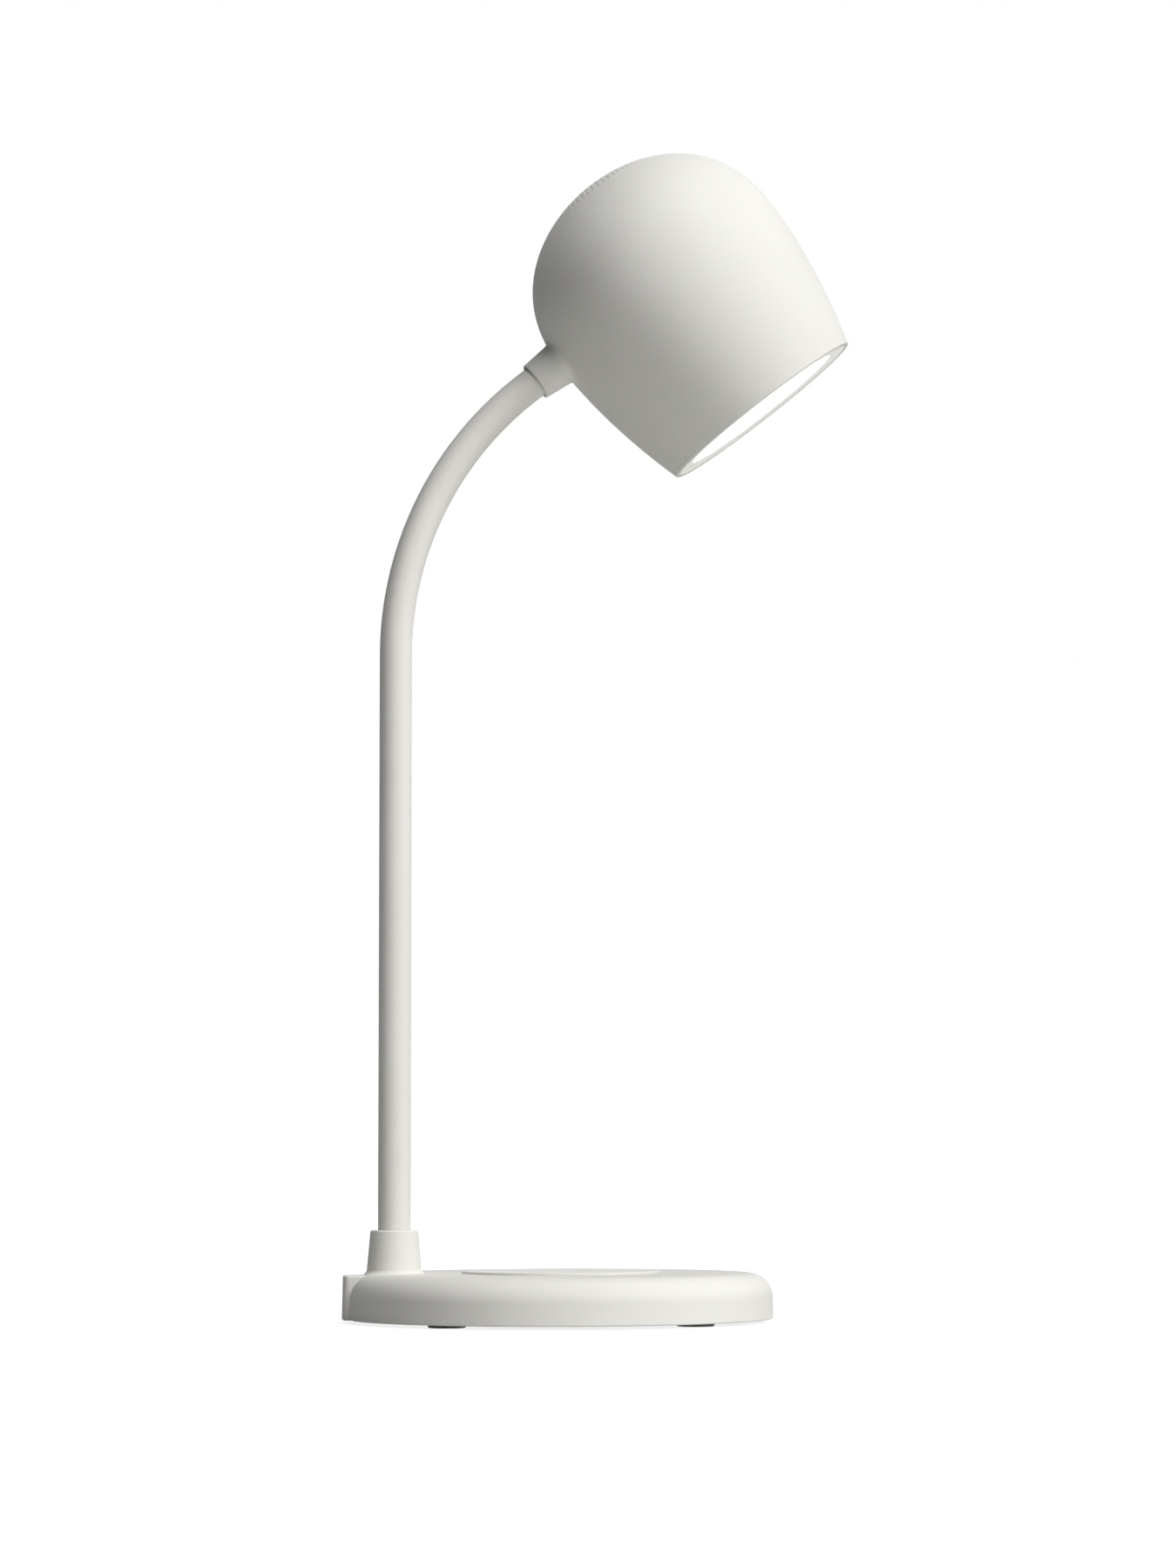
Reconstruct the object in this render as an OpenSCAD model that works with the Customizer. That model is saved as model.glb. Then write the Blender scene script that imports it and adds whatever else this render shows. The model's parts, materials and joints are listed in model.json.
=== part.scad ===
// Desk lamp: a dome head with a light and a loudspeaker, on a bendable neck, over a round base
// with a wireless charging pad. Millimetres, +Z up, +X towards the side that the head leans to.
// The origin is the centre of the base, on the surface that the feet stand on.

/* [Base] */
// Diameter of the base at its lower edge
base_d = 150; // [146:1:160]
// Height of the moulded base cover, without the feet
base_h = 16; // [16:0.5:18]
// Gap that the feet hold open below the base
foot_gap = 1.3; // [1.1:0.1:2]
// Radius of the rolled upper edge of the base
edge_r = 6; // [4:0.5:7]
// How far the side leans inwards over its height
base_draft = 0.5; // [0.4:0.1:1.2]
// Wall of the base cover
base_wall = 2.4; // [2:0.1:2.8]
// Diameter of each rubber foot
foot_d = 13; // [10:0.5:14]
// Distance of the feet from the centre
foot_reach = 60.4; // [58:0.2:61]

/* [Charging pad] */
// Diameter of the raised pad
pad_d = 70; // [60:1:72]
// Height of the pad above the base
pad_rise = 0.8; // [0.5:0.1:1.5]
// Turns of the coil below the pad
coil_turns = 9; // [6:1:10]

/* [Neck boss] */
// Distance of the neck behind the centre of the base
boss_back = 59; // [58:0.1:60]
// Height of the boss above the base
boss_h = 15.3; // [14:0.1:20]
// Diameter of the boss at its top
boss_top_d = 16.8; // [16:0.1:18]
// Diameter of the boss at its foot, above the fillet
boss_foot_d = 19.3; // [18:0.1:20]

/* [Rear block] */
// Distance of the block's flat face behind the centre
block_back = 77.1; // [76.8:0.1:79]
// Width of the block
block_w = 15; // [15:0.5:20]
// Height of the block, without the feet
block_h = 15.6; // [15:0.1:15.8]

/* [Neck] */
// Outer diameter of the neck's skin
neck_d = 11.5; // [11:0.1:11.8]
// Length of the straight stretch above the boss
neck_rise = 204.8; // [180:0.2:230]
// Radius of the bend at the top, on the neck's axis
bend_r = 126; // [110:1:150]
// Angle that the neck turns through
bend_a = 52.4; // [46:0.1:58]
// How far the ball ends of the links stand below the skin
ball_step = 0.12; // [0.1:0.01:0.3]
// Clearance between the ball end of a link and the cup of the next
ball_gap = 0.05; // [0.03:0.01:0.1]

/* [Head] */
// Diameter of the head at its widest section
head_d = 97.1; // [96:0.1:99]
// Length of the head from the closed end to the mouth
head_len = 103.3; // [102:0.1:106]
// Distance of the widest section from the closed end
head_belly = 46.8; // [46:0.1:50]
// Diameter of the mouth
mouth_d = 78.8; // [78.6:0.1:80]
// Wall of the dome
head_wall = 2.4; // [2:0.1:2.8]
// Diameter of the light plate that shows
light_d = 63; // [60:0.5:64]
// Distance of the collar's axis from the closed end
collar_at = 45.1; // [44:0.1:47]
// Distance of the collar's free end from the head's axis
collar_reach = 59.4; // [58.5:0.1:62]

/* [Sound holes] */
// Diameter of each hole
hole_d = 1.2; // [0.8:0.1:1.4]
// Distance from ring to ring of holes
hole_pitch = 2.25; // [2.1:0.05:2.3]
// Rings of holes round the middle one
hole_rings = 6; // [4:1:7]

/* [Hidden] */
// Surfaces of revolution use this many sides
$fn = 96;

// Colours
IVORY = [0.90, 0.89, 0.85];
SKIN = [0.88, 0.87, 0.83];
PAD_WHITE = [0.93, 0.92, 0.89];
RUBBER = [0.12, 0.12, 0.12];
STEEL = [0.66, 0.67, 0.69];
ZINC = [0.55, 0.56, 0.58];
COPPER = [0.74, 0.42, 0.24];
BOARD_GREEN = [0.10, 0.36, 0.22];
BLACK = [0.08, 0.08, 0.09];
OPAL = [0.97, 0.97, 0.95];
LAMP_YELLOW = [0.95, 0.82, 0.35];

// Heights in the base
top_z = foot_gap + base_h;
roof_z = top_z - base_wall;
boss_top_z = top_z + boss_h;
plate_t = 2.5;
plate_top = foot_gap + plate_t;
board_t = 1.2;
board_z = plate_top + 1.6;
port_z = board_z + board_t + 1.6;

// Radii in the base
side_r = base_d / 2;
roll_r = side_r - base_draft - edge_r;
fit = 0.1;
boss_fillet = 1.8;
ballast_r = 50;
ballast_t = 7;
ballast_cut = -38;

// Screws and feet
foot_seat = 1;
foot_angles = [45, 135, 225, 315];
screw_r = 1.25;
screw_head_r = 2.8;
screw_pad_z = plate_top + 1.8;

// Inlet in the rear block
inlet_x = -block_back + 0.7;
block_wall = 2.2;
block_inner = -block_back + block_wall;

// Key in the side wall, with distances inwards from the wall's outer face
key_a = 16;
key_r = 3.42;
key_bore_r = 3.5;
key_flange = 2.8;
key_reach = 7.2;
key_stem_r = 1.3;
switch_at = 6.8;

// Neck fittings, measured from the shoulder in the bore
ferrule_head_r = 5.9;
ferrule_head_h = 3.5;
ferrule_r = 5.05;
ferrule_seat = 8.6;
nut_h = 3.4;
core_seat = 9;
lower_shoulder = boss_top_z - 10.6;

// Neck links
joint_count = 9;
bend_joint = 6;
core_r = 4;
core_fit = 0.03;
core_bore = 1.9;
lead_r = 1.5;
neck_r = neck_d / 2;
ball_r = neck_r - ball_step;
joint_inset = 12;
lip = 1.8;
arc_len = bend_r * bend_a * PI / 180;
collar_face = 2.3;
neck_len = neck_rise + arc_len + collar_face;

// Head
head_r = head_d / 2;
mouth_r = mouth_d / 2;
light_r = light_d / 2;
dome_power = 2.4;
flank_power = 1.78;
collar_tip_r = 7.05;
collar_root_r = 8.15;
collar_shoulder = collar_reach - 6.7;
upper_shoulder = neck_len + 6.7;
ledge_s = head_len - 8;
ledge_r = 36.4;
flange_s = head_len - 3.7;
board_seat = head_len - 19.6;
bulkhead_t = 3;
led_seat = head_len - 15;
post_r = 3.6;
post_reach = 33;
post_angles = [30, 150, 210, 330];
audio_board_s = head_len - 25;
grille_r = 18.5;
grille_t = 1.7;
grille_lip = 1.6;
speaker_seat = 13;
speaker_post_reach = 22.5;
speaker_angles = [45, 135, 225, 315];

// ---------------------------------------------------------------- helpers

// Points on an arc about [x, y], from angle a0 to a1 in n steps
function arc_points(x, y, r, a0, a1, n) = [
    for (i = [0:n]) let (a = a0 + (a1 - a0) * i / n) [x + r * cos(a), y + r * sin(a)]
];

// Distance along the neck of joint k, from the top of the boss. One joint is where the bend
// begins and the last is where it ends, so that each link is either straight or bent.
function joint_at(k) = k <= bend_joint
    ? joint_inset + (k - 1) * (neck_rise - joint_inset) / (bend_joint - 1)
    : neck_rise + (k - bend_joint) * arc_len / (joint_count - bend_joint);

// Places its children on the neck's axis at distance s, with +Z along the neck and +Y sideways
module at_neck(s) {
    bend = max(0, min(s - neck_rise, arc_len)) / bend_r * 180 / PI;
    below = min(s, neck_rise);
    beyond = max(0, s - neck_rise - arc_len);
    translate([-boss_back + bend_r * (1 - cos(bend)), 0, boss_top_z + below + bend_r * sin(bend)])
        rotate([0, bend, 0])
            translate([0, 0, beyond])
                children();
}

// Places its children in the head: origin at the closed end, +Z to the mouth, +X to the collar
module at_head() {
    at_neck(neck_len)
        translate([-collar_at, 0, collar_reach])
            rotate([0, 90, 0])
                children();
}

// Places its children at the shoulder of the lower or the upper neck bore, +Z towards the neck
module at_lower_shoulder() {
    translate([-boss_back, 0, lower_shoulder])
        children();
}

module at_upper_shoulder() {
    at_neck(upper_shoulder)
        rotate([180, 0, 0])
            children();
}

// A tube between two radii, from height z0 to z1
module tube(r_out, r_in, z0, z1) {
    translate([0, 0, z0])
        difference() {
            cylinder(r = r_out, h = z1 - z0);
            translate([0, 0, -1])
                cylinder(r = r_in, h = z1 - z0 + 2);
        }
}

// Flat outline with round ends, w long along +Y and h high
module stadium(w, h) {
    square([h, w - h], center = true);
    for (side = [-1, 1])
        translate([0, side * (w - h) / 2])
            circle(d = h, $fn = 32);
}

// ---------------------------------------------------------------- base

// Radii of the cover's side wall at height z, on its outer and on its inner face
function wall_outer(z) = side_r - base_draft * (z - foot_gap - 0.5) / (base_h - edge_r - 0.5);
function wall_inner(z) = side_r - base_wall - base_draft * (z - foot_gap + 1) / (base_h - edge_r + 1);

// Outline of the cover, revolved about the base's axis
module cover_form() {
    rotate_extrude()
        polygon(concat(
            [[0, foot_gap]],
            arc_points(side_r - 0.5, foot_gap + 0.5, 0.5, -90, 0, 4),
            arc_points(roll_r, top_z - edge_r, edge_r, 0, 90, 12),
            [[0, top_z]]
        ));
}

// Hollow of the cover
module cover_hollow() {
    rotate_extrude()
        polygon(concat(
            [[0, foot_gap - 1], [side_r - base_wall, foot_gap - 1]],
            arc_points(roll_r, top_z - edge_r, edge_r - base_wall, 0, 90, 8),
            [[0, roof_z]]
        ));
}

// Tapered boss with a fillet at its foot and an eased top edge
module boss_form() {
    foot_r = boss_foot_d / 2;
    tip_r = boss_top_d / 2;
    translate([-boss_back, 0, 0])
        rotate_extrude()
            polygon(concat(
                [[0, roof_z], [foot_r + boss_fillet, roof_z]],
                arc_points(foot_r + boss_fillet, top_z + boss_fillet, boss_fillet, 270, 180, 6),
                arc_points(tip_r - 0.7, boss_top_z - 0.7, 0.7, 0, 90, 5),
                [[0, boss_top_z]]
            ));
}

// Plan of the rear block, with its two rear corners eased
module block_plan(back, w, corner) {
    reach = 20;
    translate([-back + corner, -w / 2])
        square([reach, w]);
    translate([-back, -w / 2 + corner])
        square([reach, w - 2 * corner]);
    for (side = [-1, 1])
        translate([-back + corner, side * (w / 2 - corner)])
            circle(r = corner, $fn = 32);
}

// Rear block: flat drafted face, eased upper edge
module block_form() {
    block_top = foot_gap + block_h;
    intersection() {
        translate([0, 0, foot_gap])
            linear_extrude(block_h)
                block_plan(block_back + 0.2, block_w, 2.5);
        rotate([90, 0, 0])
            linear_extrude(block_w + 2, center = true)
                polygon(concat(
                    [[-block_back + 25, foot_gap - 1], [-block_back - 0.2, foot_gap - 1]],
                    arc_points(-block_back + 0.9, block_top - 0.7, 0.7, 180, 90, 6),
                    [[-block_back + 25, block_top]]
                ));
    }
}

module block_hollow() {
    translate([block_inner, -block_w / 2 + block_wall, 0])
        cube([12, block_w - 2 * block_wall, foot_gap + block_h - base_wall]);
}

// Places its children where the key's axis meets the side wall, with +Z inwards
module at_key() {
    rotate([0, 0, -key_a])
        translate([-wall_outer(port_z), 0, port_z])
            rotate([0, 90, 0])
                children();
}

// Openings for the inlet and for the key
module port_holes() {
    translate([-block_back - 1, 0, port_z])
        rotate([0, 90, 0])
            linear_extrude(5)
                stadium(9.4, 3.6);
    at_key()
        translate([0, 0, -2])
            cylinder(r = key_bore_r, h = 6);
}

// Places its children at each foot
module at_feet() {
    for (a = foot_angles)
        rotate([0, 0, a])
            translate([foot_reach, 0, 0])
                children();
}

module base_shell() {
    color(IVORY)
        difference() {
            union() {
                difference() {
                    union() {
                        cover_form();
                        boss_form();
                        block_form();
                    }
                    cover_hollow();
                    block_hollow();
                }
                at_feet()
                    translate([0, 0, screw_pad_z])
                        cylinder(r = 3.8, h = roof_z + 0.5 - screw_pad_z);
                at_lower_shoulder()
                    translate([0, 0, -ferrule_seat])
                        cylinder(r = 9, h = 2.5);
            }
            translate([0, 0, top_z - 0.8])
                cylinder(d = pad_d + 2 * fit, h = 2);
            at_lower_shoulder()
                cylinder(r = ferrule_head_r + fit, h = 20);
            at_lower_shoulder()
                translate([0, 0, -12])
                    cylinder(r = ferrule_r + fit, h = 14);
            at_feet()
                translate([0, 0, screw_pad_z - 1])
                    cylinder(r = screw_r, h = 8.5, $fn = 32);
            port_holes();
        }
}

// Plan of the bottom plate: the disc and the tab that closes the rear block
module plate_plan() {
    circle(r = wall_inner(plate_top) - fit);
    translate([block_inner + fit, -block_w / 2 + block_wall + fit])
        square([20, block_w - 2 * block_wall - 2 * fit]);
}

// Places its children at the posts of the circuit board
module at_board_posts() {
    for (p = [[-62, -16], [-46, -16], [-46, 19]])
        translate([p[0], p[1], 0])
            children();
}

// Places its children at the pins that hold the steel weight
module at_weight_pins() {
    for (p = [[32, 0], [-22, 34], [-22, -34]])
        translate([p[0], p[1], 0])
            children();
}

module base_plate() {
    color(IVORY)
        difference() {
            union() {
                translate([0, 0, foot_gap])
                    linear_extrude(plate_t)
                        plate_plan();
                at_feet()
                    translate([0, 0, foot_gap])
                        cylinder(r = 7.2, h = screw_pad_z - foot_gap);
                at_board_posts()
                    translate([0, 0, plate_top - 0.5])
                        cylinder(r = 2.2, h = board_z - plate_top + 0.5);
                at_board_posts()
                    translate([0, 0, board_z - 0.5])
                        cylinder(r = 1.1, h = board_t + 1.3, $fn = 32);
                at_weight_pins()
                    translate([0, 0, plate_top - 0.5])
                        cylinder(r = 2, h = ballast_t + 1.3, $fn = 32);
            }
            at_feet()
                translate([0, 0, foot_gap - 1])
                    cylinder(d = foot_d + 2 * fit, h = foot_seat + 1);
            at_feet()
                translate([0, 0, foot_gap])
                    cylinder(r = screw_head_r + 0.3, h = 2.8, $fn = 48);
            at_feet()
                cylinder(r = screw_r + 0.25, h = 10, $fn = 32);
        }
}

module ballast_plate() {
    color(ZINC)
        translate([0, 0, plate_top])
            linear_extrude(ballast_t)
                difference() {
                    circle(r = ballast_r);
                    translate([ballast_cut - 40, -60])
                        square([40, 120]);
                    at_weight_pins()
                        circle(r = 2 + fit, $fn = 32);
                }
}

module rubber_feet() {
    color(RUBBER)
        at_feet()
            rotate_extrude($fn = 64)
                polygon(concat(
                    [[0, 0]],
                    arc_points(foot_d / 2 - 0.5, 0.5, 0.5, -90, 0, 4),
                    [[foot_d / 2, foot_gap + foot_seat], [0, foot_gap + foot_seat]]
                ));
}

module base_screws() {
    color(STEEL)
        at_feet() {
            translate([0, 0, foot_gap + foot_seat + fit])
                cylinder(r = screw_head_r, h = 1.7, $fn = 48);
            translate([0, 0, foot_gap + foot_seat + 1.7])
                cylinder(r = screw_r, h = 8.2, $fn = 32);
        }
}

module charging_pad() {
    pad_top = top_z + pad_rise;
    color(PAD_WHITE)
        rotate_extrude($fn = 128)
            polygon(concat(
                [[0, top_z - 0.8], [pad_d / 2, top_z - 0.8]],
                arc_points(pad_d / 2 - 0.4, pad_top - 0.4, 0.4, 0, 90, 4),
                [[0, pad_top]]
            ));
}

// Flat spiral of half rings about two centres, half a pitch apart
module charging_coil() {
    pitch = 1.25;
    first_r = 9;
    wire_w = 0.9;
    wire_t = 1;
    color(COPPER)
        translate([0, 0, roof_z - wire_t])
            for (half = [0:2 * coil_turns - 1])
                translate([half % 2 * pitch / 2, 0, 0])
                    rotate([0, 0, half % 2 * 180])
                        rotate_extrude(angle = 180)
                            translate([first_r + half * pitch / 2, 0])
                                square([wire_w, wire_t]);
}

module ferrite_sheet() {
    color(BLACK)
        translate([0, 0, roof_z - 1.8])
            cylinder(r = 24, h = 0.8);
}

module base_board() {
    color(BOARD_GREEN)
        difference() {
            union() {
                translate([-66.5, -20, board_z])
                    cube([23.3, 43, board_t]);
                translate([-74.6, -5, board_z])
                    cube([9, 10, board_t]);
                translate([-52, -12, board_z + board_t - 0.1])
                    cube([5, 5, 1.1]);
                translate([-53, 3, board_z + board_t - 0.1])
                    cube([7, 7, 1.3]);
                translate([-65, -12, board_z + board_t - 0.1])
                    cube([3.2, 5, 2]);
            }
            at_board_posts()
                translate([0, 0, board_z - 1])
                    cylinder(r = 1.2, h = 4, $fn = 32);
        }
}

// Power inlet: drawn metal sleeve with its closed back and contact tongue
module usb_c_socket() {
    sleeve_len = 7.3;
    color(STEEL)
        translate([inlet_x, 0, port_z])
            rotate([0, 90, 0]) {
                difference() {
                    linear_extrude(sleeve_len)
                        stadium(8.94, 3.2);
                    translate([0, 0, -1])
                        linear_extrude(sleeve_len)
                            stadium(8.34, 2.6);
                }
                translate([-0.35, -3.3, 0.6])
                    cube([0.7, 6.6, sleeve_len - 1]);
            }
}

module power_switch() {
    bore = key_stem_r + 0.08;
    below = port_z - board_z - board_t;
    color(BLACK)
        at_key()
            difference() {
                translate([below - 3.8, -3, switch_at])
                    cube([3.8, 6, 3.8]);
                translate([0, 0, switch_at - 1])
                    cylinder(r = bore, h = 2.4, $fn = 32);
            }
}

// Key with its flange behind the wall and its stem in the switch
module power_button() {
    flange_r = 3.9;
    flange_end = key_flange + 0.8;
    color(IVORY)
        at_key()
            rotate_extrude($fn = 64)
                polygon(concat(
                    [[0, -0.5]],
                    arc_points(key_r - 0.4, -0.1, 0.4, -90, 0, 4),
                    [[key_r, key_flange], [flange_r, key_flange], [flange_r, flange_end],
                     [key_stem_r, flange_end], [key_stem_r, key_reach], [0, key_reach]]
                ));
}

// ---------------------------------------------------------------- neck

// Turned fitting: wide head towards the neck, long spigot, stepped bore
module ferrule() {
    spigot = ferrule_seat + nut_h + 0.6;
    rotate_extrude()
        polygon([
            [lead_r + 0.4, -spigot], [ferrule_r - 0.5, -spigot], [ferrule_r, -spigot + 0.5],
            [ferrule_r, 0], [ferrule_head_r, 0], [ferrule_head_r, ferrule_head_h],
            [core_r + core_fit, ferrule_head_h], [core_r + core_fit, -core_seat],
            [lead_r + 0.4, -core_seat]
        ]);
}

module hex_nut() {
    translate([0, 0, -ferrule_seat - nut_h])
        difference() {
            cylinder(d = 14 / cos(30), h = nut_h, $fn = 6);
            translate([0, 0, -1])
                cylinder(r = ferrule_r, h = nut_h + 2);
        }
}

module lower_ferrule() {
    color(ZINC)
        at_lower_shoulder()
            ferrule();
}

module lower_nut() {
    color(STEEL)
        at_lower_shoulder()
            hex_nut();
}

module upper_ferrule() {
    color(ZINC)
        at_upper_shoulder()
            ferrule();
}

module upper_nut() {
    color(STEEL)
        at_upper_shoulder()
            hex_nut();
}

// Straight stretch of the neck from s0 to s1, a tube or, where r_in is 0, a bar
module neck_straight(s0, s1, r_out, r_in) {
    at_neck(s0)
        if (r_in > 0)
            tube(r_out, r_in, 0, s1 - s0);
        else
            cylinder(r = r_out, h = s1 - s0);
}

// The same on the bend
module neck_bent(s0, s1, r_out, r_in) {
    a0 = (s0 - neck_rise) / bend_r * 180 / PI;
    a1 = (s1 - neck_rise) / bend_r * 180 / PI;
    translate([-boss_back + bend_r, 0, boss_top_z + neck_rise])
        rotate([90, 0, 0])
            rotate([0, 0, 180 - a1])
                rotate_extrude(angle = a1 - a0)
                    translate([bend_r, 0])
                        difference() {
                            circle(r = r_out);
                            if (r_in > 0)
                                circle(r = r_in);
                        }
}

// Ball round a link's upper joint, rooted a little inside the link that carries it
module ball_end(r_out, r_in) {
    root = 0.5;
    ease = 0.02;
    bore = r_in > 0 ? r_in + ease : 0;
    rotate_extrude()
        intersection() {
            circle(r = ball_r);
            translate([bore, -root])
                square([r_out - ease - bore, root + neck_r]);
        }
}

// One link of the neck between two radii: a cup at its lower joint and a ball end at its upper
module neck_link(k, r_out, r_in, s_first, s_last) {
    s0 = k == 0 ? s_first : joint_at(k) + lip;
    s1 = k == joint_count ? s_last : joint_at(k + 1);
    difference() {
        union() {
            if (k < bend_joint || k == joint_count)
                neck_straight(s0, s1, r_out, r_in);
            else
                neck_bent(s0, s1, r_out, r_in);
            if (k < joint_count)
                at_neck(s1)
                    ball_end(r_out, r_in);
        }
        if (k > 0)
            at_neck(joint_at(k))
                sphere(r = ball_r + ball_gap);
    }
}

// Silicone skin of link k
module neck_sleeve(k) {
    color(SKIN)
        neck_link(k, neck_r, core_r + core_fit, lower_shoulder + ferrule_head_h - boss_top_z,
                  upper_shoulder - ferrule_head_h);
}

// Wound steel tube of link k and, inside it, the stretch of the lamp's lead
module neck_core(k) {
    color(STEEL)
        neck_link(k, core_r, core_bore, lower_shoulder - core_seat - boss_top_z,
                  upper_shoulder + core_seat);
    color(BLACK) {
        neck_link(k, lead_r, 0, board_z + board_t - boss_top_z, upper_shoulder + 17);
        if (k == joint_count)
            lead_turn();
    }
}

// Beyond the upper fitting the lead turns down to the amplifier board
module lead_turn() {
    turn_r = audio_board_s - collar_at;
    root = 1;
    at_head()
        translate([collar_shoulder - 17, 0, audio_board_s])
            rotate([90, 0, 0])
                rotate([0, 0, 180])
                    rotate_extrude(angle = 90 + root)
                        translate([turn_r, 0])
                            circle(r = lead_r - 0.04, $fn = 32);
}

// ---------------------------------------------------------------- head

// Radius of the dome's outer face at distance s from its closed end
function dome_r(s) = s < head_belly
    ? head_r * sqrt(1 - pow(1 - s / head_belly, dome_power))
    : head_r - (head_r - mouth_r) * pow((s - head_belly) / (head_len - head_belly), flank_power);

// Radius of its inner face
function hollow_r(s) = s < head_belly
    ? (head_r - head_wall) * sqrt(1 - pow(1 - (s - head_wall) / (head_belly - head_wall), dome_power))
    : dome_r(s) - head_wall;

// Distance from the closed end at which the outer face has radius r
function dome_s(r) = head_belly * (1 - pow(1 - pow(r / head_r, 2), 1 / dome_power));

dome_steps = 24;
flank_steps = 14;

// Distances from the closed end at which the dome's outline has its points
function dome_stations(first) = concat(
    [for (i = [1:dome_steps]) first + (head_belly - first) * pow(i / dome_steps, 2)],
    [for (i = [1:flank_steps - 1]) head_belly + (head_len - head_belly) * i / flank_steps]
);

module dome_form() {
    rotate_extrude($fn = 128)
        polygon(concat(
            [[0, 0]],
            [for (s = dome_stations(0)) [dome_r(s), s]],
            [[mouth_r, head_len - 0.5], [mouth_r - 0.15, head_len - 0.15], [mouth_r - 0.5, head_len]],
            [[0, head_len]]
        ));
}

module dome_hollow() {
    rim = head_len - 3.5;
    rotate_extrude($fn = 128)
        polygon(concat(
            [[0, head_wall]],
            [for (s = dome_stations(head_wall)) if (s < rim) [hollow_r(s), s]],
            [[mouth_r - 1.4, rim], [mouth_r - 1.4, head_len + 1], [0, head_len + 1]]
        ));
}

// Collar for the neck, with a fillet where it meets the dome
module collar_form() {
    fillet = 2;
    rotate([0, 90, 0])
        rotate_extrude()
            polygon(concat(
                [[0, collar_shoulder - ferrule_seat], [collar_root_r + fillet, collar_shoulder - ferrule_seat]],
                arc_points(collar_root_r + fillet, head_r + 0.9 + fillet, fillet, 270, 180, 6),
                arc_points(collar_tip_r - 0.6, collar_reach - 0.6, 0.6, 0, 90, 5),
                [[0, collar_reach]]
            ));
}

// Ledge for the face ring, posts for the bulkhead, seat and posts for the loudspeaker
module head_ledges() {
    tube(head_r, ledge_r, ledge_s - 2.5, ledge_s);
    at_bulkhead_posts() {
        translate([0, 0, -24])
            cylinder(r = post_r, h = 24);
        translate([0, -0.9, -30])
            cube([20, 1.8, 30]);
    }
    tube(21, 19, 1, speaker_seat);
    for (a = speaker_angles)
        rotate([0, 0, a])
            translate([speaker_post_reach, 0, 1])
                cylinder(r = 2.6, h = speaker_seat - 1);
}

// Opening in the closed end, with the step that the grille rests on
module grille_seat() {
    translate([0, 0, -1])
        cylinder(r = grille_r + fit, h = 1 + dome_s(grille_r) + grille_t);
    translate([0, 0, -1])
        cylinder(r = grille_r - grille_lip, h = 10);
}

module head_shell() {
    color(IVORY)
        at_head()
            difference() {
                union() {
                    difference() {
                        union() {
                            dome_form();
                            translate([0, 0, collar_at])
                                collar_form();
                        }
                        difference() {
                            dome_hollow();
                            translate([0, 0, collar_at])
                                rotate([0, 90, 0])
                                    translate([0, 0, collar_shoulder - ferrule_seat])
                                        cylinder(r = 9, h = 12);
                        }
                    }
                    intersection() {
                        dome_form();
                        head_ledges();
                    }
                }
                translate([0, 0, collar_at])
                    rotate([0, 90, 0]) {
                        translate([0, 0, collar_shoulder])
                            cylinder(r = ferrule_head_r + fit, h = 12);
                        translate([0, 0, collar_shoulder - 14])
                            cylinder(r = ferrule_r + fit, h = 16);
                    }
                at_bulkhead_posts()
                    translate([0, 0, -12])
                        cylinder(r = screw_r, h = 13, $fn = 32);
                for (a = speaker_angles)
                    rotate([0, 0, a])
                        translate([speaker_post_reach, 0, 5.5])
                            cylinder(r = 1, h = 9, $fn = 32);
                grille_seat();
            }
}

// Cap of the closed end. Its holes lie on rings, six more on each ring than on the one inside
// it, and its outline has its points between the rings.
module speaker_grille() {
    rims = [for (ring = [0:hole_rings - 1]) (ring + 0.5) * hole_pitch];
    lip_r = grille_r - grille_lip - fit;
    color(IVORY)
        at_head()
            difference() {
                rotate_extrude()
                    polygon(concat(
                        [[0, 0]],
                        [for (r = rims) [r, dome_s(r)]],
                        [[lip_r, dome_s(lip_r)], [grille_r, dome_s(grille_r)]],
                        [[grille_r, dome_s(grille_r) + grille_t], [lip_r, dome_s(grille_r) + grille_t]],
                        [[lip_r, dome_s(lip_r) + grille_t], [0, grille_t]]
                    ));
                translate([0, 0, -1])
                    cylinder(d = hole_d, h = 8, $fn = 16);
                for (ring = [1:hole_rings], i = [0:6 * ring - 1])
                    rotate([0, 0, i * 60 / ring])
                        translate([ring * hole_pitch, 0, -1])
                            cylinder(d = hole_d, h = 8, $fn = 16);
            }
}

// Dished ring round the light, with a skirt that sits on the ledge
module bezel_ring() {
    skirt_r = mouth_r - 1.5;
    color(IVORY)
        at_head()
            rotate_extrude($fn = 128)
                polygon([
                    [light_r, head_len - 0.75], [light_r + 0.4, head_len - 0.6],
                    [skirt_r - 0.3, head_len - 0.2], [skirt_r, head_len - 0.4],
                    [skirt_r, ledge_s], [skirt_r - 1.5, ledge_s], [skirt_r - 1.5, flange_s - 0.1],
                    [light_r + 2.8, flange_s - 0.1], [light_r + 2.8, flange_s + 1.5],
                    [light_r, flange_s + 1.5]
                ]);
}

// Opal plate: flange behind the ring, raised field that shows
module diffuser() {
    color(OPAL)
        at_head()
            rotate_extrude($fn = 128)
                polygon([
                    [0, flange_s], [light_r + 2.7, flange_s], [light_r + 2.7, flange_s + 1.5],
                    [light_r - 0.1, flange_s + 1.5], [light_r - 0.1, head_len - 0.9],
                    [light_r - 0.5, head_len - 0.75], [0, head_len - 0.65]
                ]);
}

module reflector() {
    rim_r = light_r + 2.7;
    color(OPAL)
        at_head()
            rotate_extrude()
                polygon([
                    [27.5, led_seat], [30, led_seat], [30, led_seat + 1], [29.2, led_seat + 1.4],
                    [rim_r, flange_s - 0.9], [rim_r, flange_s], [rim_r - 1.3, flange_s]
                ]);
}

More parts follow.
